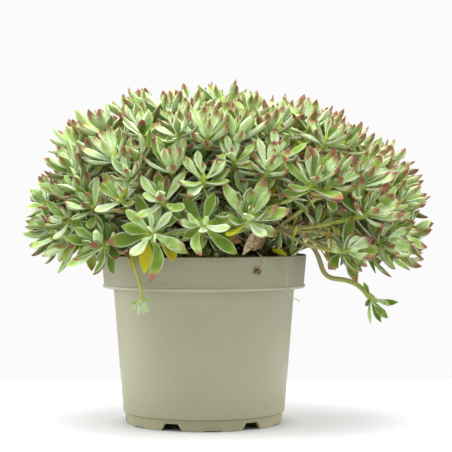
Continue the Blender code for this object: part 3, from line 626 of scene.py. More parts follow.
def leaf_pattern(rounded):
    """One leaf along Y with its flat top up: half width, length and keel depth are all 1."""
    sections = len(LEAF_RINGS) + 1
    leaf = new_shape(bpy.ops.mesh.primitive_uv_sphere_add, segments=8, ring_count=sections,
                     radius=1.0, rotation=(math.pi / 2, 0, 0))
    settle(leaf)
    where = []
    for v in leaf.data.vertices:
        radius = math.hypot(v.co.x, v.co.z)
        where.append((v.co.x / max(radius, 1e-6), (v.co.z > OFF_MIDDLE) - (v.co.z < -OFF_MIDDLE)))
    edit(leaf)
    for k, (along, half, depth, top) in enumerate(reversed(LEAF_RINGS)):
        level = math.cos(math.pi * (k + 1) / sections)
        radius = math.sqrt(1 - level * level)
        choose(leaf, lambda v: abs(v.co.y - level) < ON_LEVEL)
        bpy.ops.transform.resize(value=(half / radius, 1, depth / radius), center_override=(0, level, 0))
        choose(leaf, lambda v: abs(v.co.y - level) < ON_LEVEL and v.co.z > ON_LEVEL)
        bpy.ops.transform.resize(value=(1, 1, top), center_override=(0, level, 0))
        choose(leaf, lambda v: abs(v.co.y - level) < ON_LEVEL)
        bpy.ops.transform.translate(value=(0, along + ASIDE - level, 0))
    choose(leaf, lambda v: abs(v.co.y - 1) < ON_LEVEL and abs(v.co.x) < OFF_MIDDLE)
    bpy.ops.transform.translate(value=(0, ASIDE, 0))
    choose(leaf, lambda v: v.co.y < ON_LEVEL - 1)
    bpy.ops.transform.translate(value=(0, ASIDE + 1, 0))
    choose(leaf, lambda v: abs(v.co.x) < GROOVE_HALF and v.co.z > OFF_MIDDLE
           and GROOVE_START < v.co.y - ASIDE < GROOVE_END)
    bpy.ops.transform.translate(value=(0, 0, -GROOVE_DEPTH))
    bpy.ops.mesh.select_all(action="SELECT")
    bpy.ops.transform.translate(value=(0, -ASIDE, 0))
    close()
    point_values(leaf.data, "where", [
        (across, v.co.y, side) for (across, side), v in zip(where, leaf.data.vertices)])
    if rounded:
        modify(leaf, "SUBSURF", "Rounded", levels=1, render_levels=1)
    places = np.array([tuple(value.vector) for value in leaf.data.attributes["where"].data])
    points, faces = taken_pattern(leaf)
    return np.array(points), faces, places


# How far a leaf's cup, curl, twist and sway range.
SWINGS = {"cup": (0.05, 0.50), "curl": (-0.05, 0.30), "twist": (-0.22, 0.22), "sway": (-0.16, 0.16)}


class Leaf:
    """Where one leaf stands: its root, widest place and tip, its upper side, and its looks."""

    def __init__(self, root, middle, tip, up, half, depth, rng, kind):
        self.root, self.middle, self.tip, self.up = root, middle, tip, up
        self.half, self.depth = half, depth
        self.length = (tip - root).length
        self.kind = kind
        for key, swing in SWINGS.items():
            setattr(self, key, rng.uniform(*swing))
        self.look = (0.4, 0.2, 0.0)


# How far a leaf's tip may stand outside the CAD model's box.
BOX_MARGIN = 5.5 * MM
# A leaf this long or longer gets a rounded mesh.
LARGE_LEAF = 25 * MM


def hold_inside(leaf):
    """Keeps a leaf's tip close to the CAD model's box."""
    low, high = CAD_BOX
    leaf.tip = Vector(
        min(max(leaf.tip[k], low[k] - BOX_MARGIN), high[k] + BOX_MARGIN) for k in range(3))


def spine(leaf):
    """Points along a leaf's midline."""
    between = 0.6
    return [leaf.root.lerp(leaf.middle, between), leaf.middle,
            leaf.middle.lerp(leaf.tip, between), leaf.tip]


# A midline's shares of its root, its tip and its bend at its widest place, 0.7 along, and how far
# along its tip starts to curl.
ROOT_SHARE, TIP_SHARE, BEND_SHARE, CURL_START = 0.09, 0.49, 0.42, 0.5


def leaf_arrays(pattern, leaves):
    """Points, faces, places and looks of many leaves, each bent along its own midline."""
    points, faces, where = pattern
    x, y, z = (points[:, k][None, :, None] for k in range(3))
    root, middle, tip, up = (
        np.array([tuple(getattr(leaf, key)) for leaf in leaves])[:, None, :]
        for key in ("root", "middle", "tip", "up"))
    half, depth, cup, curl, twist, sway, length = (
        np.array([getattr(leaf, key) for leaf in leaves])[:, None, None]
        for key in ("half", "depth", "cup", "curl", "twist", "sway", "length"))
    bend = (middle - ROOT_SHARE * root - TIP_SHARE * tip) / BEND_SHARE
    midline = (1 - y) ** 2 * root + 2 * y * (1 - y) * bend + y ** 2 * tip
    forward = (1 - y) * (bend - root) + y * (tip - bend)
    forward = forward / np.linalg.norm(forward, axis=2, keepdims=True)
    turn = twist * y
    side = np.cross(forward, np.broadcast_to(up, forward.shape))
    side = side / np.linalg.norm(side, axis=2, keepdims=True)
    over = np.cross(side, forward)
    side, over = side * np.cos(turn) + over * np.sin(turn), over * np.cos(turn) - side * np.sin(turn)
    cupped = cup * half * x ** 2 * np.sin(np.pi * np.clip(y, 0, 1)) ** 0.5
    curled = curl * length * np.clip(y - CURL_START, 0, None) ** 2
    swayed = sway * half * np.sin(np.pi * y)
    placed = midline + side * (x * half + swayed) + over * (z * depth + cupped + curled)
    count, each = len(leaves), len(points)
    offsets = np.repeat(np.arange(count) * each, len(faces))
    joined = [tuple(corner + start for corner in face)
              for start, face in zip(offsets, faces * count)]
    places = np.tile(where, (count, 1))
    looks = np.repeat(np.array([leaf.look for leaf in leaves]), each, axis=0)
    return placed.reshape(-1, 3), joined, places, looks


def leaf_mesh(name, pattern, leaves, skin):
    """One mesh of many leaves, with their places and looks stored on its points."""
    points, faces, places, looks = leaf_arrays(pattern, leaves)
    made = mesh_object(name, points, faces)
    point_values(made.data, "leaf_place", places)
    point_values(made.data, "leaf_look", looks)
    paint(made, skin)
    return made


def merged(mesh):
    """A bmesh of a CAD node's mesh with its doubled points merged."""
    bm = bmesh.new()
    bm.from_mesh(mesh)
    bmesh.ops.remove_doubles(bm, verts=bm.verts, dist=DOUBLED)
    bm.verts.index_update()
    return bm


def middle_of(corners):
    """The mean place of some vertices, summed in the same order each time."""
    return sum((v.co for v in sorted(corners, key=lambda v: v.index)), Vector()) / len(corners)


def beyond(ring, inside):
    """The vertices next to a ring that aren't in the set."""
    return {edge.other_vert(v) for v in ring for edge in v.link_edges} - set(ring) - inside


# How far a CAD leaf's tip strays, in millimetres, and how much slimmer a fine leaf is.
NUDGE, SLIMMER = 2.2, 0.96


def find_leaves(bm, growth, rng):
    """The CAD leaves of a stem, and for each its own vertices and its root vertices."""
    found = []
    for tip in [v for v in bm.verts if len(v.link_edges) == 3]:
        ring = [edge.other_vert(tip) for edge in tip.link_edges]
        pairs = [(ring[k], ring[(k + 1) % 3], ring[(k + 2) % 3]) for k in range(3)]
        right, left, keel = max(pairs, key=lambda pair: (pair[0].co - pair[1].co).length)
        own = {tip, *ring}
        foot = beyond(ring, own)
        while len(foot) == 3 and len(beyond(foot, own | foot)) == 3:
            own |= foot
            foot = beyond(foot, own)
        if len(foot) != 3:
            raise RuntimeError("a leaf's root was not found")
        root = middle_of(foot)
        middle = (right.co + left.co) / 2
        half = (right.co - left.co).length / 2
        up = middle - keel.co
        nudge = Vector([rng.uniform(-NUDGE, NUDGE) for _ in range(3)]) * MM
        leaf = Leaf(root, root + (middle - root) * growth + nudge * 0.5,
                    root + (tip.co - root) * growth + nudge, up, half * growth * SLIMMER,
                    up.length, rng, "cad")
        found.append((leaf, own, foot))
    return found


# How far a stem strays, the length of one of its bends, and how high over the soil its drift
# starts and is full.
DRIFT, DRIFT_SPAN = 3.4 * MM, 120 * MM
DRIFT_START, DRIFT_FULL = 4 * MM, 40 * MM
# How much of a point's next coordinate goes into a bend, so that the bends aren't alike.
DRIFT_TWIST = 0.8
# The draws for a stem's own course lie between 0 and this.
COURSES = 90


def drift(point, course):
    """How far a stem wanders at this point; it doesn't near the soil."""
    free = smooth_step(point.z - soil_height(point.x, point.y), DRIFT_START, DRIFT_FULL)
    bends = [math.sin(course[k] + math.tau * (point[k] + DRIFT_TWIST * point[(k + 1) % 3]) / DRIFT_SPAN)
             for k in range(3)]
    return Vector(bends) * DRIFT * free


class Rosette:
    """A growing point: its middle, its axis, how tall its bud is, and its leaves' length."""

    def __init__(self, middle, axis, tall, length, leaves=()):
        self.middle, self.axis, self.tall, self.length = middle, axis, tall, length
        self.leaves = list(leaves)
        self.filled = False
        self.first = axis.orthogonal().normalized()
        self.second = axis.cross(self.first)


def rosette_of(leaves, feet, bud):
    """The growing point that these CAD leaves stand on; without a bud they line a shoot."""
    middle = middle_of(feet)
    length = sum(leaf.length for leaf in leaves) / len(leaves)
    along = sum(((leaf.tip - leaf.root).normalized() for leaf in leaves), Vector())
    axis = (bud.co - middle).normalized() if bud else along.normalized()
    return Rosette(middle, axis, (bud.co - middle).length if bud else 0.0, length, leaves)


def find_rosettes(bm, found):
    """Leaves whose roots share a vertex stand on one growing point."""
    groups = []
    for item in found:
        near = [group for group in groups if any(item[2] & other[2] for other in group)]
        joined = [item] + [other for group in near for other in group]
        groups = [group for group in groups if group not in near] + [joined]
    rosettes = []
    grown = {v for _, own, _ in found for v in own}
    for group in groups:
        feet = set().union(*(item[2] for item in group))
        buds = [v for v in bm.verts if v not in grown and v not in feet
                and all(edge.other_vert(v) in feet for edge in v.link_edges)]
        rosettes.append(rosette_of([item[0] for item in group], feet, buds[0] if buds else None))
    return rosettes


# An added leaf's widest place, what is left beyond it, and its keel, as shares of its length.
WIDEST, BEYOND, KEEL, STEM_KEEL = 0.7, 0.3, 0.125, 0.12
# How far from the axis an added leaf starts, in millimetres, and how much of its bow lowers its
# first part and lifts its last.
LEAF_FOOT, BOW_DOWN, BOW_UP = 1.5, 0.2, 0.6


def standing_leaf(rosette, base, azimuth, rise, length, width, bow, rng, kind):
    """A leaf that leaves a rosette's axis at this angle round it and this rise above its disc."""
    outward = rosette.first * math.cos(azimuth) + rosette.second * math.sin(azimuth)

    def towards(angle):
        return outward * math.cos(angle) + rosette.axis * math.sin(angle)

    root = base + outward * LEAF_FOOT * MM
    middle = root + towards(rise - bow * BOW_DOWN) * length * WIDEST
    tip = middle + towards(rise + bow * BOW_UP) * length * BEYOND
    up = rosette.axis * math.cos(rise) - outward * math.sin(rise)
    return Leaf(root, middle, tip, up, length * width / 2, length * KEEL, rng, kind)


# Parts of the picture where no added leaf hides what lies there: left, right, top and bottom
# pixels, and the depth that is kept free in front.
CLEAR_VIEWS = (
    (136, 158, 240, 277, -60),
    (238, 262, 230, 258, -60),
    (206, 236, 240, 262, -84),
    (298, 326, 250, 292, 150),
)

# The rim's reach from the axis, and how far leaves stay above the soil and the rim.
RIM_INSIDE, RIM_OUTSIDE = 79 * MM, 90 * MM
OVER_SOIL, OVER_RIM = 2 * MM, 3 * MM


def clear_place(leaf):
    """True where a leaf stays inside the CAD box and clear of the pot and the soil."""
    low, high = CAD_BOX
    for point in spine(leaf):
        across, down = seen_at(point)
        for left, right, top, bottom, depth in CLEAR_VIEWS:
            if left < across < right and top < down < bottom and point.y < depth * MM:
                return False
        if any(point[k] < low[k] or point[k] > high[k] for k in range(3)):
            return False
        radius = math.hypot(point.x, point.y)
        if radius < RIM_INSIDE and point.z < soil_height(point.x, point.y) + OVER_SOIL:
            return False
        if RIM_INSIDE <= radius < RIM_OUTSIDE and point.z < POT_HEIGHT + OVER_RIM:
            return False
    return True


class Crowd:
    """Leaf points so far, so that a new leaf goes where there is room."""

    most_fresh = 60

    def __init__(self, leaves):
        self.points = [point for leaf in leaves for point in spine(leaf)]
        self.rebuild()

    def rebuild(self):
        self.tree = kdtree.KDTree(len(self.points))
        for k, point in enumerate(self.points):
            self.tree.insert(point, k)
        self.tree.balance()
        self.fresh = []

    def room(self, leaf):
        """How far a leaf's outer part is from the nearest other leaf's points."""
        least = 1.0
        for point in spine(leaf)[1:]:
            least = min(least, self.tree.find(point)[2])
            for other in self.fresh:
                least = min(least, (other - point).length)
        return least

    def add(self, leaf):
        self.fresh += spine(leaf)
        self.points += spine(leaf)
        if len(self.fresh) > self.most_fresh:
            self.rebuild()


GOLDEN_TURN = math.radians(137.5)
TRIES = 5


def roomiest(crowd, make, least_room):
    """The roomiest of a few tries at a leaf, or None where all are too close to others."""
    best, best_room = None, least_room
    for attempt in range(TRIES):
        leaf = make(attempt)
        if not clear_place(leaf):
            continue
        room = crowd.room(leaf)
        if room > best_room:
            best, best_room = leaf, room
    if best:
        crowd.add(best)
    return best


# Leaves added round the CAD ones: their kind, the golden turns before the first, the turn between
# tries, then ranges of the rise in degrees, the length as a share of the CAD leaves' and the bow
# in degrees, and the room each needs as a share of that length.
ADDED_LEAVES = (
    ("middle", 5, 0.55, (38, 60), (0.74, 0.96), (0, 26), 0.11),
    ("lower", 9, 0.6, (0, 30), (0.82, 1.04), (-14, 24), 0.14),
)
# How far below its rosette's middle a lower leaf starts, in millimetres, and how far up the bud a
# middle leaf does.
LOWER_DROP, MIDDLE_START = (1.5, 8.0), 0.15
# Heart leaves, for a bud's lowest and the change up to its highest: where they start on it, their
# rise in degrees and their length. Then the swing of the rise, their bow and how slim they are.
HEART_START, HEART_RISE, HEART_LENGTH = (0.25, 0.45), (56, 26), (0.98, -0.46)
HEART_SWING, HEART_BOW, HEART_SLIMMER = 5, (8, 30), 0.86


def ramp(start, change, share):
    """A value that changes evenly from its start."""
    return start + change * share


def fill_rosette(rosette, plant, crowd, rng):
    """Heart leaves, leaves between the CAD ones, and spreading older leaves for one rosette."""
    added = []
    if rosette.filled or not rosette.tall:
        return added
    turn = rng.uniform(0, 2 * math.pi)
    length = rosette.length
    bud = rosette.axis * rosette.tall
    for k in range(plant.heart_leaves):
        share = k / max(1, plant.heart_leaves - 1)
        base = rosette.middle + bud * ramp(*HEART_START, share)
        rise = math.radians(ramp(*HEART_RISE, share) + rng.uniform(-HEART_SWING, HEART_SWING))
        leaf = standing_leaf(
            rosette, base, turn + GOLDEN_TURN * k, rise, length * ramp(*HEART_LENGTH, share),
            plant.leaf_width * HEART_SLIMMER, math.radians(rng.uniform(*HEART_BOW)), rng, "heart")
        if clear_place(leaf):
            crowd.add(leaf)
            added.append(leaf)
    for kind, first, retry, rises, lengths, bows, room in ADDED_LEAVES:
        for k in range(getattr(plant, kind + "_leaves")):
            def make(attempt):
                rise = math.radians(rng.uniform(*rises))
                base = rosette.middle + bud * MIDDLE_START
                if kind == "lower":
                    base = rosette.middle - rosette.axis * rng.uniform(*LOWER_DROP) * MM
                return standing_leaf(
                    rosette, base, turn + GOLDEN_TURN * (k + first) + attempt * retry, rise,
                    length * rng.uniform(*lengths), plant.leaf_width,
                    math.radians(rng.uniform(*bows)), rng, kind)
            leaf = roomiest(crowd, make, length * room)
            if leaf:
                added.append(leaf)
    return added


# The bare stems seen at the right front: left, right, top and bottom pixels, how far back they
# are seen, and the share of stem leaves that grow there.
BARE_GAP = (262, 345, 188, 268)
BARE_DEPTH = 20 * MM
GAP_SHARE = 0.38
# Stem leaves: how many are tried for each rosette, the height they start at, how near and far
# from a rosette they stand, the range of their length in millimetres, and the room they need.
STEM_LEAVES = 38
STEM_LEAF_START = 146 * MM
NEAR_ROSETTE, FAR_ROSETTE = 7 * MM, 100 * MM
STEM_LEAF_LENGTHS = (17, 25)
STEM_LEAF_ROOM = 2.4 * MM
# How far a stem leaf tilts up and aside, the least slope of its upper side, its tip's bend, and
# how far its root is sunk, in millimetres.
TILT_UP, TILT_ASIDE, LEAST_SLOPE, TIP_BEND, SUNK = (-0.2, 0.7), 0.4, 0.2, (-0.35, 0.25), 0.5
# How much it tilts outwards with its distance from the pot's axis.
TILT_OUT = 3
# Over the bare stems, a leaf's length as a share of the usual one, and the share of dry leaves.
BARE_LENGTH, BARE_DRY = 0.8, 0.5


def in_bare_gap(point):
    """True in front of the bare stems."""
    across, down = seen_at(point)
    left, right, top, bottom = BARE_GAP
    return point.y < BARE_DEPTH and left < across < right and top < down < bottom


def stem_leaves(stem, rosettes, crowd, rng, plant):
    """Older leaves along the stems, below the rosettes."""
    faces = [face for face in stem.data.polygons if face.center.z > STEM_LEAF_START]
    added = []
    if not faces:
        return added
    weights = [face.area for face in faces]
    middles = [rosette.middle for rosette in rosettes]
    lift = Vector((0, 0, 1))
    for _ in range(STEM_LEAVES * len(rosettes)):
        face = rng.choices(faces, weights)[0]
        start = face.center.copy()
        gap = min((start - middle).length for middle in middles)
        bare = in_bare_gap(start)
        if gap < NEAR_ROSETTE or gap > FAR_ROSETTE or bare and rng.random() > GAP_SHARE:
            continue
        outward = face.normal.copy()

        def make(_):
            away = Vector((start.x, start.y, 0)) * TILT_OUT
            tilt = (outward + away + lift * rng.uniform(*TILT_UP)
                    + Vector([rng.uniform(-TILT_ASIDE, TILT_ASIDE) for _ in range(3)])).normalized()
            length = rng.uniform(*STEM_LEAF_LENGTHS) * (BARE_LENGTH if bare else 1.0) * MM
            up = lift - tilt * lift.dot(tilt)
            if up.length < LEAST_SLOPE:
                up = outward - tilt * outward.dot(tilt)
            up.normalize()
            middle = start + tilt * length * WIDEST
            tip = middle + (tilt + up * rng.uniform(*TIP_BEND)).normalized() * length * BEYOND
            kind = "dry" if bare and rng.random() < BARE_DRY else "stem"
            return Leaf(start - outward * SUNK * MM, middle, tip, up, length * plant.leaf_width / 2,
                        length * STEM_KEEL, rng, kind)
        leaf = roomiest(crowd, make, STEM_LEAF_ROOM)
        if leaf:
            added.append(leaf)
    return added


# How downy each kind of leaf is, from dark green to pale, how much paler leaves are near the top
# of the crown, and the spread of the draw.
TONES = {"cad": 0.38, "heart": 0.76, "middle": 0.48, "lower": 0.20, "stem": 0.10, "dry": 0.28}
TONE_HIGH, TONE_SPREAD = 0.24, 0.36
# How red leaves are, how much more at the right and at the top, how much less in a rosette's
# heart, and the spread of the draw.
RED, RED_RIGHT, RED_HIGH, RED_HEART, RED_SPREAD = 0.47, 0.36, 0.22, 0.16, 0.28
# The share of yellow leaves among the lower and stem leaves, and of withered ones by kind.
YELLOW = 0.06
WITHERED = {"stem": 0.10, "dry": 0.55}
# The ages of yellow and of withered leaves, and how narrow, thin, cupped and curled the latter are.
YELLOW_AGE, WITHERED_AGE = (0.35, 0.95), (1.4, 2.0)
WITHERED_HALF, WITHERED_DEPTH, WITHERED_CUP, WITHERED_CURL = 0.6, 0.5, (0.6, 1.1), (0.3, 1.0)
# Where the plant's right side and its top begin and are reached.
RIGHT_SIDE, TOP = (10 * MM, 110 * MM), (170 * MM, 240 * MM)


def colour_leaf(leaf, rng):
    """Tone from dark to downy, redness, and age, by the leaf's kind and its place on the plant."""
    if leaf.kind == "aimed":
        return
    right = smooth_step(leaf.middle.x, *RIGHT_SIDE)
    high = smooth_step(leaf.middle.z, *TOP)
    tone = TONES[leaf.kind] + TONE_HIGH * high + rng.gauss(0, TONE_SPREAD)
    red = RED + RED_RIGHT * right + RED_HIGH * high + rng.gauss(0, RED_SPREAD)
    if leaf.kind == "heart":
        red -= RED_HEART
    age = 0.0
    if leaf.kind in ("lower", "stem") and rng.random() < YELLOW:
        age = rng.uniform(*YELLOW_AGE)
    if rng.random() < WITHERED.get(leaf.kind, 0):
        age = rng.uniform(*WITHERED_AGE)
        leaf.half *= WITHERED_HALF
        leaf.depth *= WITHERED_DEPTH
        leaf.cup = rng.uniform(*WITHERED_CUP)
        leaf.curl = rng.uniform(*WITHERED_CURL)
    leaf.look = (min(1.0, max(0.0, tone)), min(1.0, max(0.0, red)), age)


def bare_stem(obj, bm, found, swell):
    """Takes the CAD leaves off a merged stem, closes it, rounds it and swells it a little."""
    for _, own, foot in found:
        ends = sorted(foot, key=lambda v: v.index)
        wall = [v for v in own if any(edge.other_vert(v) in foot for edge in v.link_edges)]
        out = middle_of(wall)
        middle = middle_of(ends)
        bmesh.ops.delete(bm, geom=list(own), context="VERTS")
        face = bm.faces.new(ends)
        face.normal_update()
        if face.normal.dot(out - middle) < 0:
            face.normal_flip()
    bm.to_mesh(obj.data)
    alone(obj)
    bpy.ops.object.mode_set(mode="EDIT")
    bpy.ops.mesh.select_all(action="SELECT")
    bpy.ops.mesh.tris_convert_to_quads(face_threshold=0.9, shape_threshold=0.9)
    bpy.ops.transform.shrink_fatten(value=swell)
    close()
    levels = 2
    modify(obj, "SUBSURF", "Rounded", levels=levels, render_levels=levels)


# The two shoots that hang over the rim keep their line.
SHOOTS = STEM_NODES[:2]
# How much thicker a shoot and any other stem get.
SHOOT_SWELL, STEM_SWELL = 0.6 * MM, 0.25 * MM
# The rosettes whose leaves are placed by the picture, two at the front and one on each shoot, by
# their stem and the pixels of their middle. Each leaf has its tip's pixels and depth and its half
# width in millimetres, then its tone and redness, and how far it sways aside where it does.
AIMED_ROSETTES = (
    ("leafy_stem_14", (153, 233), (
        (138, 193, -126, 5.9, 0.12, 0.45), (184, 207, -122, 6.0, 0.10, 0.50),
        (123, 226, -124, 4.9, 0.35, 0.30), (192, 254, -122, 4.8, 0.45, 0.40),
        (107, 243, -126, 6.7, 0.08, 0.78), (127, 209, -136, 4.9, 0.62, 0.10),
        (175, 211, -140, 3.9, 0.90, 0.10), (152, 212, -141, 3.2, 0.70, 0.15),
        (145, 240, -147, 3.0, 0.90, 0.00), (188, 248, -138, 5.4, 0.40, 0.42),
        (151, 284, -136, 6.2, 0.14, 0.72, -0.9), (132, 257, -146, 5.4, 0.90, 0.55),
        (157, 240, -149, 3.6, 0.90, 0.00), (150, 228, -143, 3.0, 0.90, 0.00))),
    ("leafy_stem_17", (205, 224), (
        (186, 195, -132, 5.6, 0.14, 0.50), (217, 192, -134, 5.0, 0.30, 0.32),
        (239, 213, -132, 6.3, 0.10, 0.52), (245, 243, -126, 4.8, 0.18, 0.90),
        (185, 239, -132, 4.0, 0.22, 0.30), (241, 255, -140, 5.8, 0.15, 0.35),
        (204, 258, -143, 4.7, 0.48, 0.62, 1.1), (234, 227, -147, 4.9, 0.88, 0.28),
        (181, 221, -146, 4.2, 0.90, 0.70), (189, 213, -145, 3.3, 0.80, 0.05),
        (199, 219, -146, 2.8, 0.90, 0.00), (206, 231, -151, 3.6, 0.90, 0.00),
        (208, 216, -145, 3.0, 0.90, 0.00))),
    ("leafy_stem_01", (371, 297), (
        (400, 302, -30, 2.8, 0.12, 0.20, 0.6), (392, 305, -42, 2.0, 0.90, 0.05),
        (389, 320, -38, 3.6, 0.22, 0.20), (372, 325, -46, 2.3, 0.60, 0.10),
        (382, 323, -24, 3.2, 0.04, 0.25), (364, 282, -33, 2.2, 0.10, 0.20),
        (366, 306, -37, 2.4, 0.14, 0.10), (379, 307, -44, 1.7, 0.75, 0.00))),
    ("leafy_stem_02", (143, 297), (
        (153, 303, -81, 1.6, 0.45, 0.0), (150, 313, -80, 1.3, 0.60, 0.0),
        (146, 317, -85, 1.3, 0.50, 0.0), (139, 317, -83, 1.4, 0.65, 0.0),
        (131, 312, -83, 1.6, 0.55, 0.0), (133, 305, -88, 1.2, 0.60, 0.0),
        (141, 308, -90, 1.2, 0.80, 0.0))),
)
# Where an aimed leaf's root and widest place lie on the way to its tip, how much wider it is than
# it looks, and its keel's depth over that half width.
AIMED_ROOT, AIMED_WIDEST, AIMED_WIDER, AIMED_KEEL = 0.06, 0.68, 1.10, 0.42
# How far its widest place hangs below its straight line, as a share of its length.
AIMED_SAG = (0.04, 0.12)
# How far a shoot's leaves turn their upper side to the eye.
SHOOT_FACING = Vector((0, -1.3, 0.5))


def aimed_leaves(name, rosettes, rng):
    """Leaves by the picture for a rosette of this stem, and the rosette they belong to."""
    for stem, (across, down), tips in AIMED_ROSETTES:
        if stem != name:
            continue
        rosette = min(rosettes, key=lambda item: math.hypot(
            seen_at(item.middle)[0] - across, seen_at(item.middle)[1] - down))
        leaves = []
        for x, y, depth, half, tone, red, *sway in tips:
            tip = seen_point(x, y, depth * MM)
            root = rosette.middle + (tip - rosette.middle) * AIMED_ROOT
            along = (tip - root).normalized()
            facing = rosette.axis + SHOOT_FACING * (name in SHOOTS)
            up = (facing - along * facing.dot(along)).normalized()
            middle = (root.lerp(tip, AIMED_WIDEST)
                      - up * (tip - root).length * rng.uniform(*AIMED_SAG))
            leaf = Leaf(root, middle, tip, up, half * AIMED_WIDER * MM, half * AIMED_KEEL * MM,
                        rng, "aimed")
            leaf.look = (tone, red, 0.0)
            leaf.sway += sum(sway)
            leaves.append(leaf)
        return rosette, leaves
    return None, []


def wander(stem, leaves, rosettes, rng):
    """Lets a stem and all that stands on it stray a little from its straight course."""
    course = Vector([rng.uniform(0, COURSES) for _ in range(3)])
    for v in stem.data.vertices:
        v.co += drift(v.co, course)
    for leaf in leaves:
        step = drift(leaf.root, course)
        leaf.root = leaf.root + step
        leaf.middle = leaf.middle + step
        leaf.tip = leaf.tip + step
    for rosette in rosettes:
        rosette.middle = rosette.middle + drift(rosette.middle, course)


# How far a shoot is lifted over the rim, and the heights where the lift starts and is full.
RIM_LIFT = 2.4 * MM
LIFT_START, LIFT_FULL = 126 * MM, 138 * MM


def lift_over_rim(stem, leaves, rosettes):
    """Raises the part of a hanging shoot that lies over the rim."""
    def raised(point):
        return point + Vector((0, 0, RIM_LIFT * smooth_step(point.z, LIFT_START, LIFT_FULL)))
    for v in stem.data.vertices:
        v.co = raised(v.co)
    for leaf in leaves:
        leaf.root, leaf.middle, leaf.tip = raised(leaf.root), raised(leaf.middle), raised(leaf.tip)
    for rosette in rosettes:
        rosette.middle = raised(rosette.middle)


# A stem is young this near a rosette and woody this much farther down. Below the low height it
# is older too, by this much once it is a span lower.
YOUNG_STEM, WOODY_STEM = 10 * MM, 85 * MM
LOW_STEM, LOW_SPAN, LOW_AGE = 185 * MM, 50 * MM, 0.4


def stem_values(obj, rosettes):
    """Stores on each stem point how old the stem is there: 0 at a rosette, 1 far below."""
    points = np.array([tuple(v.co) for v in obj.data.vertices])
    middles = np.array([tuple(rosette.middle) for rosette in rosettes])
    gaps = np.linalg.norm(points[:, None, :] - middles[None, :, :], axis=2).min(axis=1)
    years = np.clip((gaps - YOUNG_STEM) / WOODY_STEM, 0, 1)
    low = np.clip((LOW_STEM - points[:, 2]) / LOW_SPAN, 0, 1) * LOW_AGE
    point_values(obj.data, "stem_look", np.stack([np.clip(years + low, 0, 1)] * 3, axis=1))


class ECHEVERIA_OT_leafy_stems(bpy.types.Operator):
    """Grows fine leaves and round stems over the CAD model's leafy stems"""

    bl_idname = "echeveria.leafy_stems"
    bl_label = "Leafy stems"

    def execute(self, context):
        plant = context.scene.echeveria_plant
        rng = random.Random(SEED)
        usual, large = leaf_pattern(False), leaf_pattern(True)
        leaf_skin, stem_skin = leaf_finish(plant), stem_finish(plant)
        stems = []
        for name in STEM_NODES:
            bm = merged(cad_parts[name].data)
            found = find_leaves(bm, plant.leaf_growth, rng)
            rosettes = find_rosettes(bm, found)
            stem = duplicate(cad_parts[name], name.replace("leafy_stem", "stem"))
            bare_stem(stem, bm, found, SHOOT_SWELL if name in SHOOTS else STEM_SWELL)
            bm.free()
            leaves = [item[0] for item in found]
            great, aimed = aimed_leaves(name, rosettes, rng)
            if great:
                leaves = [leaf for leaf in leaves if leaf not in great.leaves] + aimed
                great.filled = True
            if name in SHOOTS:
                lift_over_rim(stem, leaves, rosettes)
            elif not great:
                wander(stem, leaves, rosettes, rng)
            stems.append((name, stem, leaves, rosettes))
        crowd = Crowd([leaf for _, _, leaves, _ in stems for leaf in leaves])
        for _, _, leaves, rosettes in stems:
            for rosette in rosettes:
                leaves += fill_rosette(rosette, plant, crowd, rng)
        for _, stem, leaves, rosettes in stems:
            leaves += stem_leaves(stem, rosettes, crowd, rng, plant)
        for name, stem, leaves, rosettes in stems:
            for leaf in leaves:
                hold_inside(leaf)
                colour_leaf(leaf, rng)
            stem_values(stem, rosettes)
            paint(stem, stem_skin)
            parts = [stem]
            for pattern, chosen in (
                (usual, [leaf for leaf in leaves if leaf.length < LARGE_LEAF]),
                (large, [leaf for leaf in leaves if leaf.length >= LARGE_LEAF]),
            ):
                if chosen:
                    parts.append(leaf_mesh("leaves", pattern, chosen, leaf_skin))
            keep(join_parts(parts), name.replace("leafy_stem", "stem_and_leaves"), "leaf", name)
        return {"FINISHED"}


# Leaves placed by the picture: root, widest place and tip in pixels and depth in millimetres,
# then the half width in millimetres, and the tone, redness and age.
PLACED_LEAVES = (
    ((150, 241, -90), (148, 260, -95), (146, 275, -94), 7.0, (0.3, 0.45, 0.9)),
    ((262, 231, -66), (252, 243, -78), (242, 256, -80), 5.4, (0.95, 0.2, 2.0)),
    ((266, 238, -64), (259, 246, -73), (252, 252, -77), 3.0, (0.35, 0.2, 1.9)),
    ((112, 229, -80), (117, 231, -86), (123, 236, -88), 4.0, (0.4, 0.8, 1.6)),
    ((232, 222, -74), (237, 228, -80), (242, 235, -82), 4.2, (0.3, 1.0, 1.3)),
    ((274, 249, -52), (281, 253, -58), (289, 257, -60), 3.4, (0.5, 0.6, 1.1)),
    ((151, 204, -96), (158, 206, -104), (167, 213, -108), 3.6, (0.3, 1.0, 0.0)),
    ((344, 229, -74), (361, 240, -84), (378, 251, -88), 4.2, (0.25, 1.0, 0.30)),
    ((343, 251, -58), (348, 263, -62), (354, 277, -62), 3.9, (0.30, 0.85, 0.0)),
    ((367, 250, -56), (372, 262, -60), (377, 275, -60), 2.8, (0.10, 0.25, 0.0)),
    ((393, 259, -48), (403, 265, -52), (412, 271, -52), 2.7, (0.70, 0.95, 0.0)),
    ((325, 250, -46), (331, 262, -50), (336, 273, -50), 1.8, (0.35, 1.0, 1.85)),
    ((352, 254, -60), (358, 261, -64), (362, 268, -64), 3.0, (0.60, 0.95, 0.0)),
)
# The upper side of a placed leaf turns this way, and it is this thick, or thin where it is dry.
TOWARD_EYE = Vector((0, -1, 0.35))
PLACED_THICK, DRY_THICK = 1.6 * MM, 0.8 * MM
DRY_CUP, DRY_CURL, DRY_TWIST = 0.8, 0.5, 0.5
# Young rosettes: how many, the leaves of each, and how many of these stand round its heart.
OFFSETS, OFFSET_LEAVES, OFFSET_OUTER = 22, 8, 5
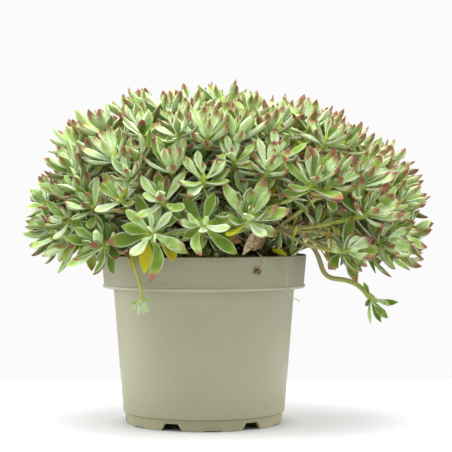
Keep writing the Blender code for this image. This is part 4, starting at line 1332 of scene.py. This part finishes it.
# In millimetres: their distance from the pot's axis, their height over the soil, their leaves'
# length, and the length of their bud and of the part of it that carries leaves.
OFFSET_REACH, OFFSET_LIFT, OFFSET_LENGTH, OFFSET_BUD, OFFSET_STEM = (12, 72), (3, 9), (13, 19), 5, 4
# Their leaves' rise in degrees and length, each with its change towards the heart.
OFFSET_RISE, OFFSET_SHORTER, OFFSET_SWING, OFFSET_BOW = (28, 44), (1, -0.45), 8, (0, 26)
# How much a young rosette leans outwards with its distance from the pot's axis.
OFFSET_LEAN = 6


def placed_leaf(root, middle, tip, half, look, rng):
    """One leaf placed by the picture; an age above 1 is a dry, curled one."""
    root, middle, tip = (seen_point(x, y, depth * MM) for x, y, depth in (root, middle, tip))
    along = (tip - root).normalized()
    up = (TOWARD_EYE - along * along.dot(TOWARD_EYE)).normalized()
    leaf = Leaf(root, middle, tip, up, half * MM, PLACED_THICK, rng, "placed")
    leaf.look = look
    if look[2] > 1:
        leaf.cup, leaf.curl, leaf.twist = DRY_CUP, DRY_CURL, DRY_TWIST
        leaf.depth = DRY_THICK
    return leaf


def offset_leaves(plant, rng):
    """Young rosettes that come up from the soil between the stems."""
    leaves = []
    for _ in range(OFFSETS):
        radius, turn = rng.uniform(*OFFSET_REACH) * MM, rng.uniform(0, 2 * math.pi)
        foot = around(turn, radius, 0)
        foot.z = soil_height(foot.x, foot.y) + rng.uniform(*OFFSET_LIFT) * MM
        axis = (Vector((foot.x, foot.y, 0)) * OFFSET_LEAN + Vector((0, 0, 1))).normalized()
        length = rng.uniform(*OFFSET_LENGTH) * MM
        rosette = Rosette(foot, axis, OFFSET_BUD * MM, length)
        for k in range(OFFSET_LEAVES):
            share = k / (OFFSET_LEAVES - 1)
            rise = math.radians(ramp(*OFFSET_RISE, share) + rng.uniform(-OFFSET_SWING, OFFSET_SWING))
            leaves.append(standing_leaf(
                rosette, foot + axis * OFFSET_STEM * MM * share, GOLDEN_TURN * k + turn, rise,
                length * ramp(*OFFSET_SHORTER, share), plant.leaf_width,
                math.radians(rng.uniform(*OFFSET_BOW)), rng,
                "lower" if k < OFFSET_OUTER else "heart"))
    return leaves


def thread(points, radius):
    """A thin dry root that hangs along these points."""
    root = new_shape(bpy.ops.curve.primitive_nurbs_path_add, enter_editmode=False)
    spline = root.data.splines[0]
    lacking = len(points) - len(spline.points)
    if lacking > 0:
        spline.points.add(lacking)
    for point, place in zip(spline.points, points + points[-1:] * max(0, -lacking)):
        point.co = (*place, 1.0)
    spline.order_u = 3
    root.data.bevel_depth = radius
    root.data.bevel_resolution = 1
    root.data.use_fill_caps = True
    root.data.resolution_u = 6
    alone(root)
    bpy.ops.object.convert(target="MESH")
    return bpy.context.object


class ECHEVERIA_OT_litter(bpy.types.Operator):
    """Adds the old, dry and fallen leaves, the young offsets and the dry roots over the rim"""

    bl_idname = "echeveria.litter"
    bl_label = "Old leaves and offsets"

    def execute(self, context):
        plant = context.scene.echeveria_plant
        rng = random.Random(SEED + 3)
        skin = leaf_finish(plant)
        placed = [placed_leaf(*item, rng) for item in PLACED_LEAVES]
        young = offset_leaves(plant, rng)
        for leaf in young:
            colour_leaf(leaf, rng)
        for name, rounded, leaves in (("old_leaves", True, placed), ("young_offsets", False, young)):
            keep(join_parts([leaf_mesh(name, leaf_pattern(rounded), leaves, skin)]), name, "leaf")
        scrap = []
        for across, down, depth, size in SCRAP:
            lump = new_shape(bpy.ops.mesh.primitive_ico_sphere_add, subdivisions=2,
                             radius=size * MM, location=seen_point(across, down, depth * MM))
            edit(lump)
            bpy.ops.transform.vertex_random(offset=SCRAP_ROUGH * size * MM, seed=SEED + len(scrap))
            close()
            settle(lump)
            scrap.append(lump)
        roots = [thread([seen_point(x, y, depth * MM) for x, y, depth in trail], radius * MM)
                 for radius, trail in DRY_ROOTS]
        for name, parts, material in (
            ("dry_scrap", scrap, dry_finish("dry_scrap", (0.30, 0.16, 0.080), (0.12, 0.055, 0.030))),
            ("dry_roots", roots, dry_finish("dry_root", (0.70, 0.62, 0.42), (0.42, 0.30, 0.17))),
        ):
            paint(join_parts(parts), material)
            keep(parts[0], name, "leaf")
        return {"FINISHED"}


# How rough the lumps of the dry scrap are.
SCRAP_ROUGH = 0.45
# A dry scrap that clings to the rim: pixels, depth and size of its lumps in millimetres.
SCRAP = (
    (258.0, 271.5, -75.4, 1.5), (260.2, 273.4, -74.6, 1.2), (256.2, 273.0, -76.0, 1.1),
    (260.0, 269.8, -74.6, 1.0), (257.4, 268.9, -75.6, 0.9), (261.8, 271.4, -74.0, 0.8),
)
# Dry roots that hang over the rim: their radius in millimetres, then pixels and depth.
DRY_ROOTS = (
    (0.32, ((256, 250, -66), (261, 255, -73), (265, 259, -74), (266, 263, -74), (263, 268, -74),
            (259, 270, -75), (257, 272, -75))),
    (0.26, ((279, 251, -50), (284, 256, -57), (286, 264, -58), (288, 275, -57), (287, 284, -56),
            (290, 291, -54), (291, 296, -48), (294, 299, -44))),
    (0.22, ((283, 252, -50), (287, 256, -55), (290, 259, -55), (291, 262, -54))),
    (0.35, ((293, 297, -46), (296, 299, -42), (299, 300, -40), (300, 302, -40))),
)

# The pot's profile in millimetres, from its underside's middle up its outside and down its inside.
POT_PROFILE = (
    (0, 0.2), (11.4, 0.2), (12.0, 0.8), (12.0, 6.6), (12.4, 7.0), (61.2, 7.0), (61.6, 6.6),
    (62.4, 0.4), (62.9, 0.0), (65.1, 0.0), (65.6, 0.5), (66.1, 8.4), (66.2, 8.9), (66.9, 9.3),
    (67.5, 9.7), (67.75, 10.4), (69.7, 34.0), (71.7, 60.0), (73.8, 86.0), (75.75, 112.0),
    (76.2, 112.8), (76.9, 113.1), (82.6, 113.1), (83.8, 113.3), (84.7, 113.8), (85.1, 114.6),
    (85.05, 115.3), (84.7, 115.9), (84.1, 116.3), (84.05, 116.6), (84.38, 120.5), (84.39, 120.7),
    (84.25, 121.0), (84.43, 121.3), (84.45, 121.5), (85.88, 138.2), (85.9, 138.4), (85.65, 138.8),
    (85.92, 139.2), (86.0, 140.1), (85.8, 140.6), (85.4, 140.9), (84.9, 141.0), (84.5, 140.7),
    (84.4, 140.0), (82.7, 116.0), (82.3, 114.4), (81.4, 113.9), (75.6, 113.9), (74.9, 113.4),
    (74.6, 112.6), (66.6, 13.0), (65.8, 11.0), (64.0, 9.0), (62.0, 8.5), (0, 8.5),
)
POT_STEPS = 128
# Arches and slots through the foot ring: width at the foot, width at the top, and height.
ARCH_SHAPE = (18.5 * MM, 11.8 * MM, 6.0 * MM)
SLOT_SHAPE = (14 * MM, 14 * MM, 0.8 * MM)
DRAIN_RADIUS, DRAIN_CIRCLE = 4.5 * MM, 46 * MM
# How far a cutter reaches in front of and behind the foot ring's middle, and a drain cutter's length.
CUT_REACH, DRAIN_CUT = 9 * MM, 8 * MM
# How far a cutter goes below the floor, how wide the pot's edges are softened, and the angles
# from which edges are softened and stay sharp in the shading.
CUT_BELOW, SOFT_EDGE = 2 * MM, 0.25 * MM
SOFTENED_FROM, SHARP_FROM = math.radians(50), math.radians(38)


def turned_piece(name, profile):
    """A closed piece spun round the pot's axis from its profile's points."""
    points = [(radius * MM, 0, height * MM) for radius, height in profile]
    mesh = bpy.data.meshes.new(name)
    mesh.from_pydata(points, [(k, k + 1) for k in range(len(points) - 1)], [])
    piece = bpy.data.objects.new(name, mesh)
    bpy.context.scene.collection.objects.link(piece)
    edit(piece)
    bpy.ops.mesh.select_all(action="SELECT")
    bpy.ops.mesh.spin(steps=POT_STEPS, angle=2 * math.pi, center=(0, 0, 0), axis=(0, 0, 1))
    bpy.ops.mesh.select_all(action="SELECT")
    bpy.ops.mesh.remove_doubles(threshold=DOUBLED)
    bpy.ops.mesh.normals_make_consistent(inside=False)
    close()
    return piece


def wedge_cutter(turn, foot, top, height):
    """A block that cuts an opening, wider at its foot, through the foot ring at this turn."""
    block = new_shape(bpy.ops.mesh.primitive_cube_add, size=1,
                      location=(0, -FOOT_RING_RADIUS, height / 2))
    block.scale = (foot, 2 * CUT_REACH, height)
    settle(block)
    edit(block)
    choose(block, lambda f: f.normal.z > 0.5, "faces")
    bpy.ops.transform.resize(value=(top / foot, 1, 1), center_override=(0, 0, height))
    choose(block, lambda f: f.normal.z < -0.5, "faces")
    bpy.ops.mesh.extrude_region_move(TRANSFORM_OT_translate={"value": (0, 0, -CUT_BELOW)})
    close()
    block.rotation_euler = (0, 0, turn)
    settle(block)
    return block


class ECHEVERIA_OT_pot(bpy.types.Operator):
    """Turns the pot, cuts its arches, slots and drain holes, and softens its edges"""

    bl_idname = "echeveria.pot"
    bl_label = "Pot"

    def execute(self, context):
        pot = turned_piece("pot_body", POT_PROFILE)
        cutters = []
        for k in range(ARCHES):
            turn = ARCH_TURN + 2 * math.pi * k / ARCHES
            cutters.append(wedge_cutter(turn, *ARCH_SHAPE))
            cutters.append(wedge_cutter(turn + math.pi / ARCHES, *SLOT_SHAPE))
            cutters.append(new_shape(
                bpy.ops.mesh.primitive_cylinder_add, vertices=32, radius=DRAIN_RADIUS, depth=DRAIN_CUT,
                location=around(turn, DRAIN_CIRCLE, (FLOOR_UNDERSIDE + FLOOR_TOP) / 2)))
            settle(cutters[-1])
        alone(*cutters)
        bpy.ops.object.join()
        modify(pot, "BOOLEAN", "Arches", operation="DIFFERENCE", object=cutters[0], solver="EXACT")
        bpy.data.objects.remove(cutters[0], do_unlink=True)
        modify(pot, "BEVEL", "Softened", width=SOFT_EDGE, segments=2, limit_method="ANGLE",
               angle_limit=SOFTENED_FROM)
        alone(pot)
        bpy.ops.object.shade_smooth_by_angle(angle=SHARP_FROM)
        paint(pot, plastic_finish(context.scene.echeveria_pot))
        keep(pot, "pot_shell", "pot_plastic", "pot")
        return {"FINISHED"}


# The soil's lumps and crumbs: the size of each noise and how strongly it displaces the top.
SOIL_RELIEF = (("soil_lumps", 0.010, 3.2 * MM), ("soil_grains", 0.0028, 1.6 * MM))
# The soil's top is inset this often, first by a little and then by more.
SOIL_RINGS, FIRST_INSET, INSET = 14, 1.2 * MM, 5.0 * MM
# How the soil narrows at the rim's foot, and from there to the pot's floor.
SEAT_SCALE, SEAT_INSET, BASE_SCALE = 0.985, 8.5 * MM, 0.86


class ECHEVERIA_OT_soil(bpy.types.Operator):
    """Fills the pot with a rough mound of soil"""

    bl_idname = "echeveria.soil"
    bl_label = "Soil"

    def execute(self, context):
        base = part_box("soil")[0].z
        mound = new_shape(
            bpy.ops.mesh.primitive_cylinder_add, vertices=96, radius=SOIL_RADIUS,
            depth=SOIL_EDGE - SOIL_SEAT, end_fill_type="NGON",
            location=(0, 0, (SOIL_EDGE + SOIL_SEAT) / 2))
        settle(mound)
        edit(mound)
        choose(mound, lambda f: f.normal.z > 0.9, "faces")
        for ring in range(SOIL_RINGS):
            bpy.ops.mesh.inset(thickness=INSET if ring else FIRST_INSET, depth=0)
        bpy.ops.mesh.poke()
        choose(mound, lambda f: f.normal.z < -0.9, "faces")
        bpy.ops.transform.resize(value=(SEAT_SCALE, SEAT_SCALE, 1), center_override=(0, 0, 0))
        bpy.ops.mesh.inset(thickness=SEAT_INSET, depth=0)
        bpy.ops.mesh.extrude_region_move(
            TRANSFORM_OT_translate={"value": (0, 0, base - SOIL_SEAT)})
        bpy.ops.transform.resize(value=(BASE_SCALE, BASE_SCALE, 1), center_override=(0, 0, 0))
        close()
        for v in mound.data.vertices:
            if v.co.z > SOIL_EDGE - 1 * MM:
                v.co.z = soil_height(v.co.x, v.co.y)
        edit(mound)
        choose(mound, lambda f: f.calc_center_median().z > SOIL_EDGE - 0.2 * MM, "faces")
        bpy.ops.object.vertex_group_add()
        bpy.ops.mesh.subdivide(number_cuts=1)
        bpy.ops.object.vertex_group_assign()
        close()
        for name, size, strength in SOIL_RELIEF:
            cloud = bpy.data.textures.new(name, "CLOUDS")
            cloud.noise_scale = size
            modify(mound, "DISPLACE", name, texture=cloud, strength=strength, mid_level=0.5,
                   direction="Z", vertex_group=mound.vertex_groups[0].name)
        alone(mound)
        bpy.ops.object.shade_smooth_by_angle(angle=math.radians(60))
        paint(mound, earth_finish(context.scene.echeveria_soil))
        keep(mound, "soil_mound", "potting_soil", "soil")
        return {"FINISHED"}


def scattered(pattern, places, name):
    """One mesh of many copies of a pattern, each at its own place, turn and size."""
    points, faces = pattern
    every, corners = [], []
    for matrix in places:
        start = len(every)
        every += [matrix @ Vector(point) for point in points]
        corners += [tuple(corner + start for corner in face) for face in faces]
    return mesh_object(name, every, corners)


def taken_pattern(obj):
    """The points and faces of a finished master, which is removed."""
    settle(obj)
    points = [tuple(v.co) for v in obj.data.vertices]
    faces = [tuple(face.vertices) for face in obj.data.polygons]
    bpy.data.objects.remove(obj, do_unlink=True)
    return points, faces


def crumb_pattern():
    """A lump: a coarse ball with its points pushed in and out."""
    rng = random.Random(SEED + 1)
    lump = new_shape(bpy.ops.mesh.primitive_ico_sphere_add, subdivisions=1, radius=1.0)
    for v in lump.data.vertices:
        v.co *= rng.uniform(0.7, 1.15)
    return taken_pattern(lump)


# A sprig's leaflets: how many, the lowest one's height and angle, and the change to the next.
LEAFLETS, LEAFLET_HEIGHT, LEAFLET_ANGLE = 7, (0.15, 0.12), (62, -5)


def sprig_pattern():
    """A moss sprig: a slim stalk with spread, pointed leaflets."""
    cone = bpy.ops.mesh.primitive_cone_add
    parts = [new_shape(cone, vertices=3, radius1=0.10, depth=1.0, location=(0, 0, 0.5))]
    for k in range(LEAFLETS):
        leaflet = new_shape(cone, vertices=3, radius1=0.13, depth=0.55, location=(0, 0, 0.26))
        settle(leaflet)
        leaflet.rotation_euler = (0, math.radians(ramp(*LEAFLET_ANGLE, k)), GOLDEN_TURN * k)
        leaflet.location = (0, 0, ramp(*LEAFLET_HEIGHT, k))
        parts.append(leaflet)
    return taken_pattern(join_parts(parts))


def on_soil(rng, reach):
    """A random point of the soil's top within a radius of the pot's axis."""
    radius = reach * math.sqrt(rng.random())
    angle = rng.uniform(0, 2 * math.pi)
    x, y = radius * math.cos(angle), radius * math.sin(angle)
    return Vector((x, y, soil_height(x, y)))


def loose(point, rng, size, flat=1.0, lean=math.pi):
    """A place, turn and size for one scattered piece."""
    turn = Matrix.Rotation(rng.uniform(0, 2 * math.pi), 4, "Z") @ Matrix.Rotation(
        rng.uniform(-lean, lean), 4, "X")
    sizes = (size * rng.uniform(0.8, 1.3), size * rng.uniform(0.8, 1.3), size * flat, 1)
    return Matrix.Translation(point) @ turn @ Matrix.Diagonal(sizes)


# The size of crumbs in millimetres, over the soil and at the front, and how flat they are.
CRUMB_SIZE, FRONT_CRUMB_SIZE, FLATNESS = (0.5, 2.1), (0.9, 2.8), (0.5, 1)
# Crumbs that are heaped against the rim at the front: how many, where they lie in degrees round
# the axis and millimetres from it, how high they pile up, and where the pile begins and is full.
FRONT_CRUMBS, FRONT_TURN, FRONT_REACH, PILE = 420, (-48, 40), (64, 81), 8
PILE_SPAN = (62 * MM, 78 * MM)
# Moss tufts over the soil and, by their angles, along the front of the rim, and their spread.
TUFTS, FRONT_TUFTS, TUFT_SPREAD = 20, (-14, -6, 2, 8, 14, 20, 26), 6 * MM
# A sprig's size in millimetres, how far it leans, how deep it is sunk and how much higher it
# stands at the front, and where the front begins and is reached.
SPRIG_SIZE, SPRIG_LEAN, SPRIG_SUNK, SPRIG_LIFT = (2.6, 5.6), math.radians(26), 0.4, 5
SPRIG_FRONT = (58 * MM, 76 * MM)


class ECHEVERIA_OT_ground_cover(bpy.types.Operator):
    """Scatters crumbs, bark and moss over the soil"""

    bl_idname = "echeveria.ground_cover"
    bl_label = "Crumbs and moss"

    def execute(self, context):
        soil = context.scene.echeveria_soil
        rng = random.Random(SEED + 2)
        reach = SOIL_RADIUS - 2 * MM
        places = [
            loose(on_soil(rng, reach), rng, rng.uniform(*CRUMB_SIZE) * MM, rng.uniform(*FLATNESS))
            for _ in range(soil.crumbs)]
        for _ in range(FRONT_CRUMBS):
            turn = math.radians(rng.uniform(*FRONT_TURN))
            foot = around(turn, rng.uniform(*FRONT_REACH) * MM, 0)
            pile = rng.uniform(0, PILE) * MM * smooth_step(math.hypot(foot.x, foot.y), *PILE_SPAN)
            foot.z = soil_height(foot.x, foot.y) + pile
            places.append(loose(
                foot, rng, rng.uniform(*FRONT_CRUMB_SIZE) * MM, rng.uniform(*FLATNESS)))
        crumbs = scattered(crumb_pattern(), places, "crumbs")
        paint(crumbs, earth_finish(soil))
        keep(crumbs, "soil_crumbs", "potting_soil")
        tufts = [on_soil(rng, reach) for _ in range(TUFTS)]
        tufts += [around(math.radians(angle), 72 * MM, SOIL_EDGE + 2 * MM) for angle in FRONT_TUFTS]
        places = []
        while len(places) < soil.sprigs:
            tuft = rng.choice(tufts)
            x = tuft.x + rng.gauss(0, TUFT_SPREAD)
            y = tuft.y + rng.gauss(0, TUFT_SPREAD)
            if math.hypot(x, y) < reach - 1 * MM:
                lift = (SPRIG_LIFT * smooth_step(-y, *SPRIG_FRONT) - SPRIG_SUNK) * MM
                point = Vector((x, y, soil_height(x, y) + lift))
                places.append(loose(point, rng, rng.uniform(*SPRIG_SIZE) * MM, 1.0, SPRIG_LEAN))
        moss = scattered(sprig_pattern(), places, "moss")
        paint(moss, moss_finish(soil))
        keep(moss, "moss_sprigs", "leaf")
        return {"FINISHED"}


# The floor's size, where it ends behind the pot, and how round its corners are, in metres.
FLOOR_WIDTH, FLOOR_DEPTH, FLOOR_END, FLOOR_CORNER = 1.9, 1.25, 0.33, 0.22
# How bright the surround looks, and how bright it shines from below as a share of above.
BACKDROP, LOW_SURROUND = 0.965, 0.33
# The lights: their name, place and size, and the share that each takes of its setting.
LIGHTS = (
    ("left_light", (-1.1, 0.25, 0.55), 0.9, "side_light", 1.25),
    ("right_light", (1.1, 0.25, 0.55), 0.9, "side_light", 0.95),
    ("top_light", (0.0, -0.30, 1.42), 1.2, "top_light", 1.0),
)
LIGHT_AIM = (0.01, 0, 0.14)
# The camera's place to the side, the height that it looks at, and its lens.
CAMERA_SIDE, CAMERA_AIM_HEIGHT, CAMERA_LENS = 0.0185, 0.1647, 127.75


def look_turn(start, end):
    """The turn of a light or camera that looks from start to end."""
    return (Vector(end) - Vector(start)).to_track_quat("-Z", "Y").to_euler()


class ECHEVERIA_OT_stage(bpy.types.Operator):
    """Sets the pale floor, the soft lights and the camera"""

    bl_idname = "echeveria.stage"
    bl_label = "Studio"

    def execute(self, context):
        stage = context.scene.echeveria_stage
        floor = new_shape(bpy.ops.mesh.primitive_plane_add, size=1,
                          location=(0, FLOOR_END - FLOOR_DEPTH / 2, 0))
        floor.name = "studio_floor"
        floor.scale = (FLOOR_WIDTH, FLOOR_DEPTH, 1)
        settle(floor)
        edit(floor)
        bpy.ops.mesh.select_all(action="SELECT")
        bpy.ops.mesh.bevel(offset=FLOOR_CORNER, segments=12, affect="VERTICES")
        close()
        paint(floor, floor_finish(stage))
        world = bpy.data.worlds.new("soft_surround")
        context.scene.world = world
        world.use_nodes = True
        wiring = Wiring(world.node_tree)
        light = world.node_tree.nodes["Background"]
        light.inputs["Color"].default_value = (1.0, 1.0, 1.0, 1.0)
        sky = wiring.add("ShaderNodeTexCoord").outputs["Generated"]
        height = wiring.add("ShaderNodeSeparateXYZ", {"Vector": sky}).outputs[2]
        wiring.feed(light.inputs["Strength"], wiring.step(
            height, -0.06, 0.45, stage.surround * LOW_SURROUND, stage.surround))
        seen = wiring.add("ShaderNodeBackground", {"Color": (BACKDROP,) * 3, "Strength": 1.0})
        path = wiring.add("ShaderNodeLightPath")
        both = wiring.add("ShaderNodeMixShader", {
            0: path.outputs["Is Camera Ray"], 1: light.outputs[0], 2: seen.outputs[0]})
        wiring.feed(world.node_tree.nodes["World Output"].inputs["Surface"], both.outputs[0])
        for name, place, size, power, share in LIGHTS:
            bpy.ops.object.light_add(type="AREA", location=place, rotation=look_turn(place, LIGHT_AIM))
            lamp = bpy.context.object
            lamp.name = name
            lamp.data.size = size
            lamp.data.energy = getattr(stage, power) * share
        eye = (CAMERA_SIDE, -EYE_DISTANCE, EYE_HEIGHT)
        bpy.ops.object.camera_add(
            location=eye, rotation=look_turn(eye, (CAMERA_SIDE, 0, CAMERA_AIM_HEIGHT)))
        camera = bpy.context.object
        camera.data.lens = CAMERA_LENS
        context.scene.camera = camera
        context.scene.view_settings.view_transform = "Standard"
        return {"FINISHED"}


class ECHEVERIA_PT_panel(bpy.types.Panel):
    """Lists the pieces and their values"""

    bl_label = "Potted Echeveria"
    bl_idname = "ECHEVERIA_PT_panel"
    bl_space_type = "VIEW_3D"
    bl_region_type = "UI"
    bl_category = "Echeveria"

    def draw(self, context):
        for title, group, operators in PANEL_ROWS:
            box = self.layout.box()
            box.label(text=title)
            values = getattr(context.scene, group)
            for name in values.bl_rna.properties.keys():
                if name not in ("rna_type", "name"):
                    box.prop(values, name)
            for operator in operators:
                box.operator(operator.bl_idname)


PANEL_ROWS = (
    ("Plant", "echeveria_plant", (ECHEVERIA_OT_leafy_stems, ECHEVERIA_OT_litter)),
    ("Pot", "echeveria_pot", (ECHEVERIA_OT_pot,)),
    ("Soil", "echeveria_soil", (ECHEVERIA_OT_soil, ECHEVERIA_OT_ground_cover)),
    ("Studio", "echeveria_stage", (ECHEVERIA_OT_stage,)),
)
SETTINGS = (
    ("echeveria_plant", PlantSettings),
    ("echeveria_pot", PotSettings),
    ("echeveria_soil", SoilSettings),
    ("echeveria_stage", StageSettings),
)
CLASSES = (
    PlantSettings,
    PotSettings,
    SoilSettings,
    StageSettings,
    ECHEVERIA_OT_leafy_stems,
    ECHEVERIA_OT_litter,
    ECHEVERIA_OT_pot,
    ECHEVERIA_OT_soil,
    ECHEVERIA_OT_ground_cover,
    ECHEVERIA_OT_stage,
    ECHEVERIA_PT_panel,
)


def register():
    """Registers the classes and gives the scene their settings."""
    for item in CLASSES:
        bpy.utils.register_class(item)
    for name, group in SETTINGS:
        setattr(bpy.types.Scene, name, bpy.props.PointerProperty(type=group))


def unregister():
    """Takes the settings and the classes away again."""
    for name, _ in SETTINGS:
        delattr(bpy.types.Scene, name)
    for item in reversed(CLASSES):
        bpy.utils.unregister_class(item)


def main():
    """Builds every piece in order."""
    register()
    bpy.ops.echeveria.pot()
    bpy.ops.echeveria.soil()
    bpy.ops.echeveria.ground_cover()
    bpy.ops.echeveria.leafy_stems()
    bpy.ops.echeveria.litter()
    bpy.ops.echeveria.stage()


if __name__ == "__main__":
    main()
